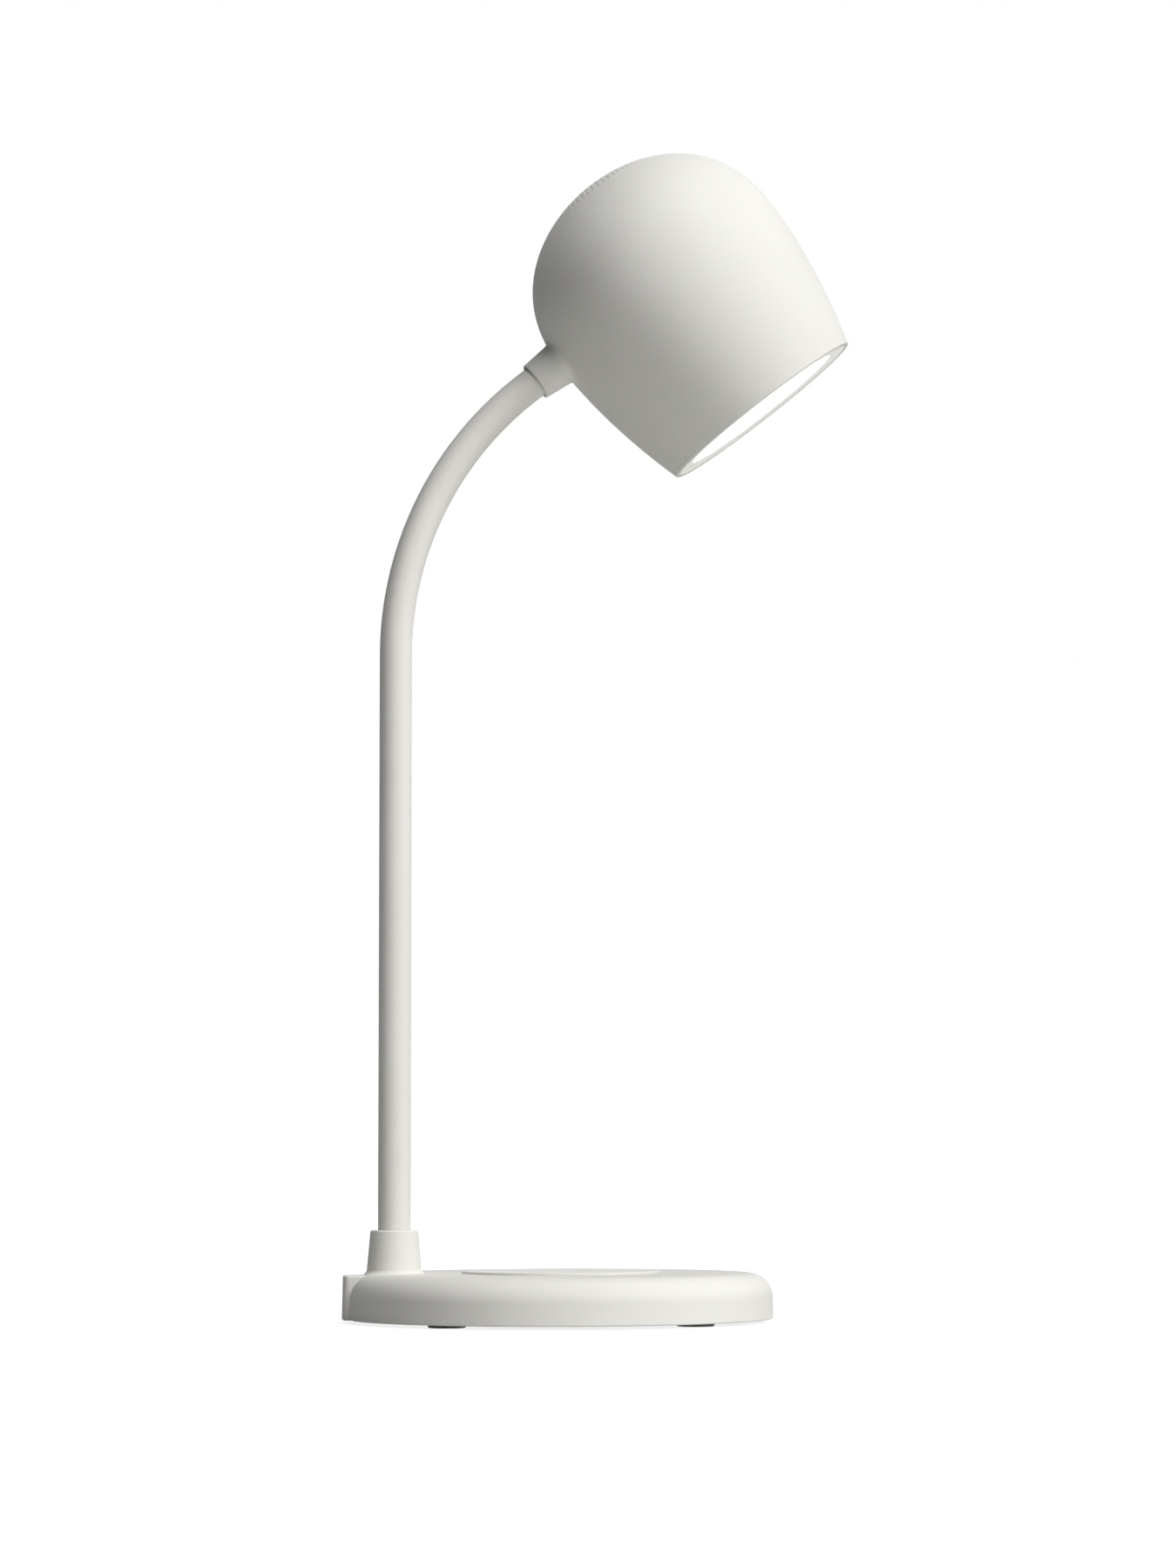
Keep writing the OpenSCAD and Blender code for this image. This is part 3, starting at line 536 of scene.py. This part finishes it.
def neck_boss():
    """Tapered boss round the neck's axis. Its fillet ends level with the cover, and there each
    point sinks to the cover's own height, so that the foot follows the rolled edge."""
    a = np.arange(SIDES) * 2 * math.pi / SIDES
    tip = eased([(BORE_R, neck_foot - 9 * MM, 0), (BORE_R, neck_foot, 0.2 * MM),
                 (BOSS_TIP_R, neck_foot, 0.7 * MM), (BOSS_FOOT_R, TOP + BOSS_FILLET, 0)])
    fillet = arc((BOSS_FOOT_R + BOSS_FILLET, TOP + BOSS_FILLET), BOSS_FILLET, 180, 270, 10)
    profile = np.concatenate([tip, fillet[1:], [[BOSS_FOOT_R, TOP - 2 * WALL]]])
    r, z = profile[:, :1], profile[:, 1:]
    x, y = neck_x + r * np.cos(a), r * np.sin(a)
    share = np.clip((r - BOSS_FOOT_R) / BOSS_FILLET, 0, 1) ** 2
    sunk = (TOP - cover_height(np.hypot(x, y)) + 0.03 * MM) * share
    return skin(np.stack([x, y, z - sunk], -1), along=True)


BLOCK_BACK = -base_low.x
BLOCK_HALF = 7.5 * MM
BLOCK_TOP = 15.6 * MM + RIM_Z
BLOCK_CORNER = 2.5 * MM
BLOCK_EDGE = 0.7 * MM
BLOCK_DRAFT = 0.3 * MM
BLOCK_FRONT = 62 * MM


def block_ring(inset):
    """Plan of the rear block drawn in by inset, with its two rear corners round."""
    corner = np.maximum(BLOCK_CORNER - inset, 0.3 * MM)
    back, half, front = -BLOCK_BACK + inset, BLOCK_HALF - inset, -BLOCK_FRONT
    one = arc((back + corner, half - corner), corner, 90, 180, 8)
    flat = np.stack([np.full(21, back), np.linspace(half - corner, corner - half, 21)], -1)[1:-1]
    other = arc((back + corner, corner - half), corner, 180, 270, 8)
    side = np.linspace(back + corner, front, 9)
    upper = np.stack([side[::-1], np.full(9, half)], -1)[:-1]
    lower = np.stack([side, np.full(9, -half)], -1)[1:]
    close = np.stack([np.full(11, front), np.linspace(-half, half, 11)], -1)[1:-1]
    return np.concatenate([upper, one, flat, other, lower, close])


def rear_block():
    """Rings of the block's plan from its lower edge up, drawn in with the draft of its sides and
    round the upper edge."""
    top = arc((BLOCK_DRAFT + BLOCK_EDGE, BLOCK_TOP - BLOCK_EDGE), BLOCK_EDGE, 180, 90, 10)
    steps = [(0.5 * MM, RIM_Z), (0.15 * MM, RIM_Z + 0.15 * MM), (0, RIM_Z + 0.5 * MM),
             (BLOCK_DRAFT / 2, BLOCK_TOP / 2), (BLOCK_DRAFT, BLOCK_TOP - BLOCK_EDGE - 0.2 * MM)]
    steps += list(top)
    rings = []
    for inset, z in steps:
        plan = block_ring(inset)
        rings.append(np.concatenate([plan, np.full((len(plan), 1), z)], 1))
    middle = -(BLOCK_BACK + BLOCK_FRONT) / 2
    return skin(np.array(rings), start=(middle, 0, RIM_Z), end=(middle, 0, BLOCK_TOP))


key_low, key_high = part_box("power_button")
inlet_low, inlet_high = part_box("usb_c_socket")
PORT_Z = (inlet_low.z + inlet_high.z) / 2
KEY_IN = Vector(JOINTS["key_press"]["axis"])
KEY_FACE = 75.16 * MM
KEY_LAY = (Matrix.Translation(Vector((0, 0, (key_low.z + key_high.z) / 2)) - KEY_FACE * KEY_IN)
           @ KEY_IN.to_track_quat("Z", "Y").to_matrix().to_4x4())


def port_cutter():
    """Prism along +X with round ends: half a circle at each end of a straight middle."""
    half_w, half_h, sides = 4.7 * MM, 1.8 * MM, 64
    a = (np.arange(sides) + 0.5) * 2 * math.pi / sides
    across = half_h * np.cos(a) + np.sign(np.cos(a)) * (half_w - half_h)
    outline = np.stack([np.zeros(sides), across, PORT_Z + half_h * np.sin(a)], -1)
    ends = np.array([-BLOCK_BACK - 2 * MM, -BLOCK_BACK + 9 * MM])
    rings = outline[None] + np.stack([ends, 0 * ends, 0 * ends], -1)[:, None]
    return skin(rings, start=(ends[0], 0, PORT_Z), end=(ends[1], 0, PORT_Z))


def key_cutter():
    """Cylinder along the key's axis, through the cover's side wall."""
    bore_r = 3.5 * MM
    ends = np.array([(0, -MM), (bore_r, -MM), (bore_r, 5 * MM), (0, 5 * MM)])
    return placed(turned(ends, 64), KEY_LAY)


def cut(obj, cutter):
    """Takes the cutter's room out of a piece, for good."""
    tool = obj.modifiers.new("ports", "BOOLEAN")
    tool.operation, tool.solver, tool.object = "DIFFERENCE", "EXACT", cutter
    graph = bpy.context.evaluated_depsgraph_get()
    made = bpy.data.meshes.new_from_object(obj.evaluated_get(graph))
    obj.modifiers.clear()
    obj.data = made
    bpy.data.objects.remove(cutter)
    shade(made, SHARP)


block = piece("rear_block", [rear_block()])
cut(block, piece("ports", [port_cutter()]))
dress(block, "base", "ivory_plastic")
cover = piece("base_cover", [base_cover()])
cut(cover, piece("ports", [port_cutter(), key_cutter()]))
dress(cover, "base", "ivory_plastic", ["base_shell"])
dress(piece("neck_boss", [neck_boss()]), "base", "ivory_plastic")


def charging_pad():
    """Round pad with a soft upper edge."""
    edge = eased([(0, pad_low.z, 0), (pad_high.x, pad_low.z, 0),
                  (pad_high.x, pad_high.z, 0.4 * MM), (0, pad_high.z, 0)])
    return turned(edge, 256)


dress(piece("charging_pad_top", [charging_pad()]), "base", "pad_plastic", ["charging_pad"])


def rubber_feet():
    """Four low discs with an eased lower edge, one on each diagonal."""
    foot_r = 6.5 * MM
    reach = foot_high.x - foot_r
    disc = turned(eased([(0, 0, 0), (foot_r, 0, 0.5 * MM), (foot_r, foot_high.z, 0.1 * MM),
                         (0, foot_high.z, 0)]), 96)
    return [placed(disc, Matrix.Translation((sx * reach, sy * reach, 0)))
            for sx in (-1, 1) for sy in (-1, 1)]


dress(piece("desk_feet", rubber_feet()), "base", "foot_rubber", ["rubber_feet"])


def key_cap():
    """Round key whose face is a shallow dish, with its flange and its stem behind."""
    r, flange_r, stem_r = 3.42 * MM, 3.9 * MM, 1.3 * MM
    flange, back, length = 3.3 * MM, 4.1 * MM, 7.7 * MM
    dish_r = r - 0.7 * MM
    share = np.linspace(0, 1, 9)
    dish = np.stack([dish_r * share, 0.3 * MM * (1 - share ** 2)], -1)
    side = eased([(dish_r + 0.1 * MM, 0, 0), (r, 0, 0.4 * MM), (r, flange, 0),
                  (flange_r, flange, 0), (flange_r, back, 0), (stem_r, back, 0),
                  (stem_r, length, 0), (0, length, 0)])
    return placed(turned(np.concatenate([dish, side]), 64), KEY_LAY)


dress(piece("key_cap", [key_cap()]), "key", "ivory_plastic", ["power_button"])

# ---------------------------------------------------------------- neck

SKIN_STEP = 1.2 * MM
SKIN_FIRST = -7.1 * MM
SKIN_LAST = neck_rise + bend_length + COLLAR_FACE + 3.2 * MM
BLEND_REACH = 15 * MM
TOP_REACH = 1.9 * MM
FOOT_REACH = 11 * MM
BENT_FROM_ABOVE = (3, 4, 8)  # hinges whose ends and bodies are taken from the upper body down


def neck_skin(first, last):
    """Tube of the neck's radius along its axis from first to last: each ring stands square to
    the axis, on the vectors (cos lean, 0, -sin lean) and +Y."""
    s = np.linspace(first, last, max(2, round((last - first) / SKIN_STEP)))
    middle, lean = neck_path(s)
    a = np.arange(96) * 2 * math.pi / 96
    ahead = np.stack([np.cos(lean), 0 * lean, -np.sin(lean)], -1)[:, None]
    side = np.array([0, 1, 0])
    ring = np.cos(a)[None, :, None] * ahead + np.sin(a)[None, :, None] * side
    return skin(middle[:, None] + neck_radius * ring, start=middle[0], end=middle[-1])


def keep_rest(obj):
    """Stores each point's place at rest, which the skin's finish reads at every pose."""
    mesh = obj.data
    places = np.empty(len(mesh.vertices) * 3, np.float32)
    mesh.vertices.foreach_get("co", places)
    mesh.attributes.new("rest", "FLOAT_VECTOR", "POINT").data.foreach_set("vector", places)


seams = np.concatenate([[SKIN_FIRST], (joint_s[1:] + joint_s[:-1]) / 2, [SKIN_LAST]])
for k, hinge in enumerate(NECK_JOINTS):
    stretch = piece(f"neck_skin_{k + 1}", [neck_skin(seams[k], seams[k + 1])])
    keep_rest(stretch)
    stands_for = ["neck_sleeve_0", "neck_sleeve_1"] if k == 0 else [f"neck_sleeve_{k + 1}"]
    dress(stretch, None, "silicone_skin", stands_for)
    low = FOOT_REACH if k == 0 else BLEND_REACH
    high = TOP_REACH if k == NECK_COUNT - 1 else BLEND_REACH
    ends = neck_path([joint_s[k] - low, joint_s[k] + high])[0]
    bodies = [hinge["parent"], hinge["child"]]
    if k in BENT_FROM_ABOVE:
        ends, bodies = ends[::-1], bodies[::-1]
    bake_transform(stretch)

# ---------------------------------------------------------------- head

HEAD_R = 48.55 * MM
HEAD_LEN = 103.3 * MM
BELLY = 46.8 * MM
MOUTH_R = 39.4 * MM
LIP_R = 0.8 * MM
HEAD_WALL = 2.4 * MM
DOME_POWER = 2.4
FLANK_POWER = 1.78
GRILLE_R = 25.2 * MM
GRILLE_LIP_R = 23.8 * MM
GRILLE_T = 1.7 * MM
SEAT_GAP = 0.04 * MM
MOUTH_WALL = 1.4 * MM


def dome_r(s):
    """Radius of the dome at distance s from its closed end: a flattened ellipse up to the
    widest section, and a power curve from there to the mouth."""
    s = np.asarray(s, float)
    back = np.clip(1 - s / BELLY, 0, 1)
    ahead = np.clip(s - BELLY, 0, None) / (HEAD_LEN - BELLY)
    dome = HEAD_R * np.sqrt(1 - back ** DOME_POWER)
    return np.where(s < BELLY, dome, HEAD_R - (HEAD_R - MOUTH_R) * ahead ** FLANK_POWER)


def dome_s(r):
    """Distance from the closed end at which the dome has radius r."""
    return BELLY * (1 - (1 - (np.asarray(r) / HEAD_R) ** 2) ** (1 / DOME_POWER))


def head_dome():
    """The dome's profile, from the grille's opening round to the mouth, over its lip and back up
    inside, at one wall's distance, to the ledge that the grille sits on."""
    opening = GRILLE_R + SEAT_GAP
    t = np.linspace(0, 1, 61)[1:]
    first = dome_s(opening)
    back = first + (BELLY - first) * t ** 1.6
    lip_z = HEAD_LEN - LIP_R
    flank = BELLY + (lip_z - 0.05 * MM - BELLY) * np.linspace(0, 1, 41)[1:]
    s = np.concatenate([[first], back, flank])
    outer = np.stack([dome_r(s), s], -1)
    rim = arc((dome_r(lip_z) - LIP_R, lip_z), LIP_R, 0, 90, 8)
    lip_r = MOUTH_R - MOUTH_WALL
    lip = [[lip_r, HEAD_LEN], [lip_r, HEAD_LEN - 3.5 * MM]]
    seat = first + GRILLE_T
    shoulder = seat + 3 * MM
    upward = s[::-1][8:]
    inner = np.stack([dome_r(upward) - HEAD_WALL, upward], -1)
    inner = inner[inner[:, 1] > shoulder]
    ledge = GRILLE_LIP_R + 0.1 * MM
    close = [[opening + 4 * MM, shoulder], [ledge, seat + 1.2 * MM], [ledge, seat],
             [opening, seat], [opening, first + 0.1 * MM]]
    return turned(np.concatenate([outer, rim, lip, inner, close]), 256)


COLLAR_TIP_R = 7.05 * MM
COLLAR_ROOT_R = 8.15 * MM
COLLAR_FILLET = 2.2 * MM


def head_collar():
    """Collar round the X axis at COLLAR_AT. Its wall runs from the free end to where it meets
    the dome at x = sqrt(dome_r(z)^2 - y^2). A curve with its middle on that meeting line then
    carries the wall over onto the dome, where it ends just below the surface."""
    a = np.arange(SIDES) * 2 * math.pi / SIDES

    def on_dome(r):
        y, z = r * np.cos(a), COLLAR_AT + r * np.sin(a)
        return np.sqrt(dome_r(z) ** 2 - y ** 2)

    def wall_r(x):
        share = (COLLAR_END - x) / (COLLAR_END - HEAD_R)
        return COLLAR_TIP_R + (COLLAR_ROOT_R - COLLAR_TIP_R) * share

    meet_r = wall_r(on_dome(COLLAR_ROOT_R))
    meet_x = on_dome(meet_r)
    free = eased([(46.3 * MM, BORE_R, 0), (COLLAR_END - 0.8 * MM, BORE_R, 0),
                  (COLLAR_END, BORE_R + 0.45 * MM, 0), (COLLAR_END, COLLAR_TIP_R, 0.35 * MM),
                  (COLLAR_END - 3 * MM, wall_r(COLLAR_END - 3 * MM), 0)])
    rows = [(np.full_like(a, x), np.full_like(a, r)) for x, r in free]
    top_x = meet_x + COLLAR_FILLET
    top_r, low_r = wall_r(top_x), meet_r + COLLAR_FILLET
    low_x = on_dome(low_r) - 0.03 * MM
    for t in np.linspace(0, 1, 13):
        u, v, w = (1 - t) ** 2, 2 * t * (1 - t), t ** 2
        rows.append((u * top_x + v * meet_x + w * low_x, u * top_r + v * meet_r + w * low_r))
    rows.append((np.full_like(a, 42.5 * MM), low_r))
    x, r = np.array(rows).transpose(1, 0, 2)
    return skin(np.stack([x, r * np.cos(a), COLLAR_AT + r * np.sin(a)], -1), along=True)


dress(piece("dome_shell", [placed(head_dome(), HEAD), placed(head_collar(), HEAD)]),
      "head", "ivory_plastic", ["head_shell"])

HOLE_R = 0.6 * MM
HOLE_PITCH = 2.25 * MM
HOLE_RINGS = 10
HOLE_TURN = math.radians(43)
SIDE_STEPS = 3
FACE_SHARES = np.array([0, 0.6, 1])
SEAM = 0.02 * MM


def grille_back(r):
    """Height of the grille's inner face at radius r, a shallow cone up to the lip."""
    return GRILLE_T + dome_s(GRILLE_LIP_R) * r / GRILLE_LIP_R


def hole_cell(ring):
    """One cell of a ring of holes, as rows of points from its edge on the outer face to the
    hole, down the hole and back out to its edge on the inner face. The cell is a slice of the
    ring. The circle between ring k and ring k + 1 is cut into 6 k (k + 1) steps, so that the
    cells on both its sides share their points. Each point of the hole lies on the line from the
    hole's middle to a point of the edge."""
    middle = ring * HOLE_PITCH
    inner, outer = middle - HOLE_PITCH / 2, middle + HOLE_PITCH / 2
    if ring == 0:
        turn = np.arange(12) * math.pi / 6 + math.pi / 6
        edge = outer * np.stack([np.cos(turn), np.sin(turn)], -1)
    else:
        half = math.pi / (6 * ring)
        inner_steps = ring - 1 if ring > 1 else 2
        out_turn = np.linspace(-half, half, ring + 2)[:-1]
        in_turn = np.linspace(half, -half, inner_steps + 1)[:-1]
        inward = np.linspace(outer, inner, SIDE_STEPS + 1)[:-1]
        outward = np.linspace(inner, outer, SIDE_STEPS + 1)[:-1]
        turn = np.concatenate([out_turn, np.full(SIDE_STEPS, half),
                               in_turn, np.full(SIDE_STEPS, -half)])
        r = np.concatenate([np.full(ring + 1, outer), inward,
                            np.full(inner_steps, inner), outward])
        edge = np.stack([r * np.cos(turn), r * np.sin(turn)], -1)
    away = edge - (middle, 0)
    hole = (middle, 0) + HOLE_R * away / np.linalg.norm(away, axis=1, keepdims=True)
    face = edge + (hole - edge) * FACE_SHARES[:, None, None]
    xy = np.concatenate([face, face[::-1]])
    r = np.hypot(xy[..., 0], xy[..., 1])
    is_back = np.repeat([False, True], len(FACE_SHARES))[:, None]
    return np.concatenate([xy, np.where(is_back, grille_back(r), dome_s(r))[..., None]], -1)


def sound_grille():
    """The perforated cap: the middle cell, six k copies of ring k's cell turned round the axis,
    and a plain rim whose inner circle has the points of the outermost cells."""
    verts, quads, count = [], [], 0
    for ring in range(HOLE_RINGS + 1):
        cell = hole_cell(ring)
        turn = np.arange(max(1, 6 * ring)) * 2 * math.pi / max(1, 6 * ring) + HOLE_TURN
        c, s = np.cos(turn)[:, None, None], np.sin(turn)[:, None, None]
        x, y, z = cell[..., 0], cell[..., 1], cell[..., 2]
        cells = np.stack(np.broadcast_arrays(x * c - y * s, x * s + y * c, z), -1)
        faces = quads_of(*cell.shape[:2], True, False)
        shift = count + np.arange(len(cells)) * cell[..., 0].size
        verts.append(cells.reshape(-1, 3))
        quads.append((faces[None] + shift[:, None, None]).reshape(-1, 4))
        count += cells.size // 3
    steps = 6 * HOLE_RINGS * (HOLE_RINGS + 1)
    a = np.arange(steps) * 2 * math.pi / steps - math.pi / (6 * HOLE_RINGS) + HOLE_TURN
    field_r = (HOLE_RINGS + 0.5) * HOLE_PITCH
    seat = dome_s(GRILLE_R) + GRILLE_T
    front = np.linspace(field_r, GRILLE_R - SEAM, 6)
    profile = [(r, dome_s(r)) for r in front]
    profile += [(GRILLE_R, dome_s(GRILLE_R) + SEAM), (GRILLE_R, seat), (GRILLE_LIP_R, seat),
                (GRILLE_LIP_R, grille_back(GRILLE_LIP_R)), (field_r, grille_back(field_r))]
    r, z = np.array(profile)[:, :1], np.array(profile)[:, 1:]
    rim = np.stack(np.broadcast_arrays(r * np.cos(a), r * np.sin(a), z), -1)
    verts.append(rim.reshape(-1, 3))
    quads.append(quads_of(*rim.shape[:2], True, False) + count)
    return np.concatenate(verts), np.concatenate(quads), np.zeros((0, 3), int)


grille = piece("sound_grille", [placed(sound_grille(), HEAD)])
joined(grille.data)
shade(grille.data, SHARP)
dress(grille, "head", "ivory_plastic", ["speaker_grille"])

CLOTH_R = GRILLE_LIP_R - 0.1 * MM


def backing_cloth():
    """Thin cloth dished like the grille's inner face, just behind it."""
    r = np.linspace(0, CLOTH_R, 14)
    front = np.stack([r, grille_back(r) + 0.1 * MM], -1)
    back = front[::-1] + (0, 0.4 * MM)
    return turned(np.concatenate([front, back]), 96)


cloth = dress(piece("backing_cloth", [placed(backing_cloth(), HEAD)]), "head", "speaker_cloth",
              ["grille_cloth"])

LIGHT_R = 31.5 * MM
SKIRT_R = MOUTH_R - 1.5 * MM


def face_ring():
    """Dished ring round the light, with its skirt inside the mouth."""
    return turned(eased([
        (LIGHT_R, HEAD_LEN - 1.9 * MM, 0), (LIGHT_R, HEAD_LEN - 0.75 * MM, 0.2 * MM),
        (SKIRT_R, HEAD_LEN - 0.2 * MM, 0.3 * MM), (SKIRT_R, HEAD_LEN - 8 * MM, 0.1 * MM),
        (SKIRT_R - 1.5 * MM, HEAD_LEN - 8 * MM, 0.1 * MM),
        (SKIRT_R - 1.5 * MM, HEAD_LEN - 1.9 * MM, 0)], ring=True), 256)


def light_plate():
    """Opal plate, crowned a little, with a flange behind the ring that holds it."""
    low, rim_z, flange_r = HEAD_LEN - 3.7 * MM, HEAD_LEN - 0.95 * MM, LIGHT_R + 2.7 * MM
    r = np.linspace(1, 0, 24)
    crown = np.stack([(LIGHT_R - 0.5 * MM) * r, HEAD_LEN - 0.65 * MM - 0.15 * MM * r ** 2], -1)
    edge = eased([(0, low, 0), (flange_r, low, 0), (flange_r, low + 1.5 * MM, 0),
                  (LIGHT_R - 0.1 * MM, low + 1.5 * MM, 0), (LIGHT_R - 0.1 * MM, rim_z, 0)])
    return turned(np.concatenate([edge, crown]), 256)


light_ring = dress(piece("face_ring", [placed(face_ring(), HEAD)]), "head", "ivory_plastic",
                   ["bezel_ring"])
# The face ring takes the ivory with the painted glow.
light_ring.data.materials[0] = FINISHES["lit_ivory"]
dress(piece("light_plate", [placed(light_plate(), HEAD)]), "head", "opal_plate", ["diffuser"])

# ---------------------------------------------------------------- camera, light and stage

LAMP_YAW = math.radians(5.31)
CAMERA_AT = np.array([10.09, -1318, 50.28]) * MM
CAMERA_PITCH = math.radians(6.11)
CAMERA_ROLL = math.radians(-0.165)
FRAME_H = 1800
FOCAL_PX = 4238
SENSOR_H = 36


def in_lamp_frame(vector):
    """A vector of the photograph's own frame, turned back by the lamp's yaw."""
    c, s = math.cos(LAMP_YAW), math.sin(LAMP_YAW)
    x, y, z = vector
    return np.array([x * c + y * s, y * c - x * s, z])


def add_camera():
    """The camera that was fitted to the photograph, level but for its pitch and roll."""
    ahead = np.array([0, math.cos(CAMERA_PITCH), math.sin(CAMERA_PITCH)])
    level = np.array([1, 0, 0])
    above = np.cross(level, ahead)
    right = math.cos(CAMERA_ROLL) * level + math.sin(CAMERA_ROLL) * above
    up = math.cos(CAMERA_ROLL) * above - math.sin(CAMERA_ROLL) * level
    m = np.eye(4)
    m[:3, 0], m[:3, 1], m[:3, 2] = in_lamp_frame(right), in_lamp_frame(up), -in_lamp_frame(ahead)
    m[:3, 3] = in_lamp_frame(CAMERA_AT)
    data = bpy.data.cameras.new("camera")
    data.sensor_fit, data.sensor_height = "VERTICAL", SENSOR_H
    data.lens = FOCAL_PX / FRAME_H * SENSOR_H
    data.clip_start, data.clip_end = 0.01, 50
    camera = bpy.data.objects.new("camera", data)
    camera.matrix_world = Matrix(m)
    bpy.context.scene.collection.objects.link(camera)
    bpy.context.scene.camera = camera


def add_light(name, azimuth, elevation, distance, size, power, aim=(0, 0, 0.22)):
    """Square soft light. Azimuth 0 is on the camera's side, and 90 to its right."""
    a, e = math.radians(azimuth), math.radians(elevation)
    away = in_lamp_frame((math.sin(a) * math.cos(e), -math.cos(a) * math.cos(e), math.sin(e)))
    data = bpy.data.lights.new(name, "AREA")
    data.shape, data.size, data.energy = "SQUARE", size, power
    light = bpy.data.objects.new(name, data)
    light.location = Vector(aim) + Vector(away) * distance
    light.rotation_euler = Vector(away).to_track_quat("Z", "Y").to_euler()
    bpy.context.scene.collection.objects.link(light)


def seen_as_background(tree):
    """1 where the camera, a reflection or glass looks, and 0 where light is gathered."""
    path = node(tree, "ShaderNodeLightPath")
    glossy = node(tree, "ShaderNodeMath", operation="MAXIMUM")
    seen = node(tree, "ShaderNodeMath", operation="MAXIMUM")
    tree.links.new(path.outputs["Is Glossy Ray"], glossy.inputs[0])
    tree.links.new(path.outputs["Is Transmission Ray"], glossy.inputs[1])
    tree.links.new(glossy.outputs[0], seen.inputs[0])
    tree.links.new(path.outputs["Is Camera Ray"], seen.inputs[1])
    return seen.outputs[0]


def add_stage():
    """Pale floor that takes the shadow and shows white where the light reaches it."""
    half = 6
    square = [(-half, -half, 0), (half, -half, 0), (half, half, 0), (-half, half, 0)]
    mesh = bpy.data.meshes.new("floor")
    mesh.from_pydata(square, [], [(0, 1, 2, 3)])
    floor = bpy.data.objects.new("floor", mesh)
    bpy.context.scene.collection.objects.link(floor)
    material = plastic("floor_paint", (0.6, 0.6, 0.59), (0.59, 0.59, 0.58), 0.9, grain=400.0,
                       depth=0.01, drift=3.0)
    tree = material.node_tree
    surface = tree.nodes["Principled BSDF"]
    surface.inputs["Specular IOR Level"].default_value = 0.0
    away = node(tree, "ShaderNodeVectorMath", operation="LENGTH")
    tree.links.new(node(tree, "ShaderNodeTexCoord").outputs["Object"], away.inputs[0])
    rise = node(tree, "ShaderNodeMapRange", From_Min=0.1, From_Max=0.45, To_Min=FLOOR_GLOW,
                To_Max=1.0)
    tree.links.new(away.outputs["Value"], rise.inputs["Value"])
    glow = node(tree, "ShaderNodeEmission", Color=(1, 1, 1, 1))
    tree.links.new(rise.outputs["Result"], glow.inputs["Strength"])
    total = node(tree, "ShaderNodeAddShader")
    pick = node(tree, "ShaderNodeMixShader")
    tree.links.new(surface.outputs[0], total.inputs[0])
    tree.links.new(glow.outputs[0], total.inputs[1])
    tree.links.new(seen_as_background(tree), pick.inputs[0])
    tree.links.new(surface.outputs[0], pick.inputs[1])
    tree.links.new(total.outputs[0], pick.inputs[2])
    tree.links.new(pick.outputs[0], tree.nodes["Material Output"].inputs["Surface"])
    floor.data.materials.append(material)


def add_world():
    """Grey room for the light, and white where the camera or a reflection sees it."""
    world = bpy.data.worlds.new("room")
    world.use_nodes = True
    tree = world.node_tree
    room = tree.nodes["Background"]
    room.inputs["Color"].default_value = (1, 1, 1, 1)
    room.inputs["Strength"].default_value = ROOM_LIGHT
    white = node(tree, "ShaderNodeBackground", Color=(1, 1, 1, 1), Strength=1.0)
    pick = node(tree, "ShaderNodeMixShader")
    tree.links.new(seen_as_background(tree), pick.inputs[0])
    tree.links.new(room.outputs[0], pick.inputs[1])
    tree.links.new(white.outputs[0], pick.inputs[2])
    tree.links.new(pick.outputs[0], tree.nodes["World Output"].inputs["Surface"])
    bpy.context.scene.world = world


ROOM_LIGHT = 0.02
FLOOR_GLOW = 0.84
add_camera()
add_light("key", 52, 40, 4.0, 1.7, 93)
add_light("top", 20, 62, 4.0, 1.7, 74)
add_light("low", 48, 6, 0.6, 0.3, 0.9, aim=(0, 0, -0.02))
add_stage()
add_world()
bpy.context.scene.view_settings.view_transform = "Standard"
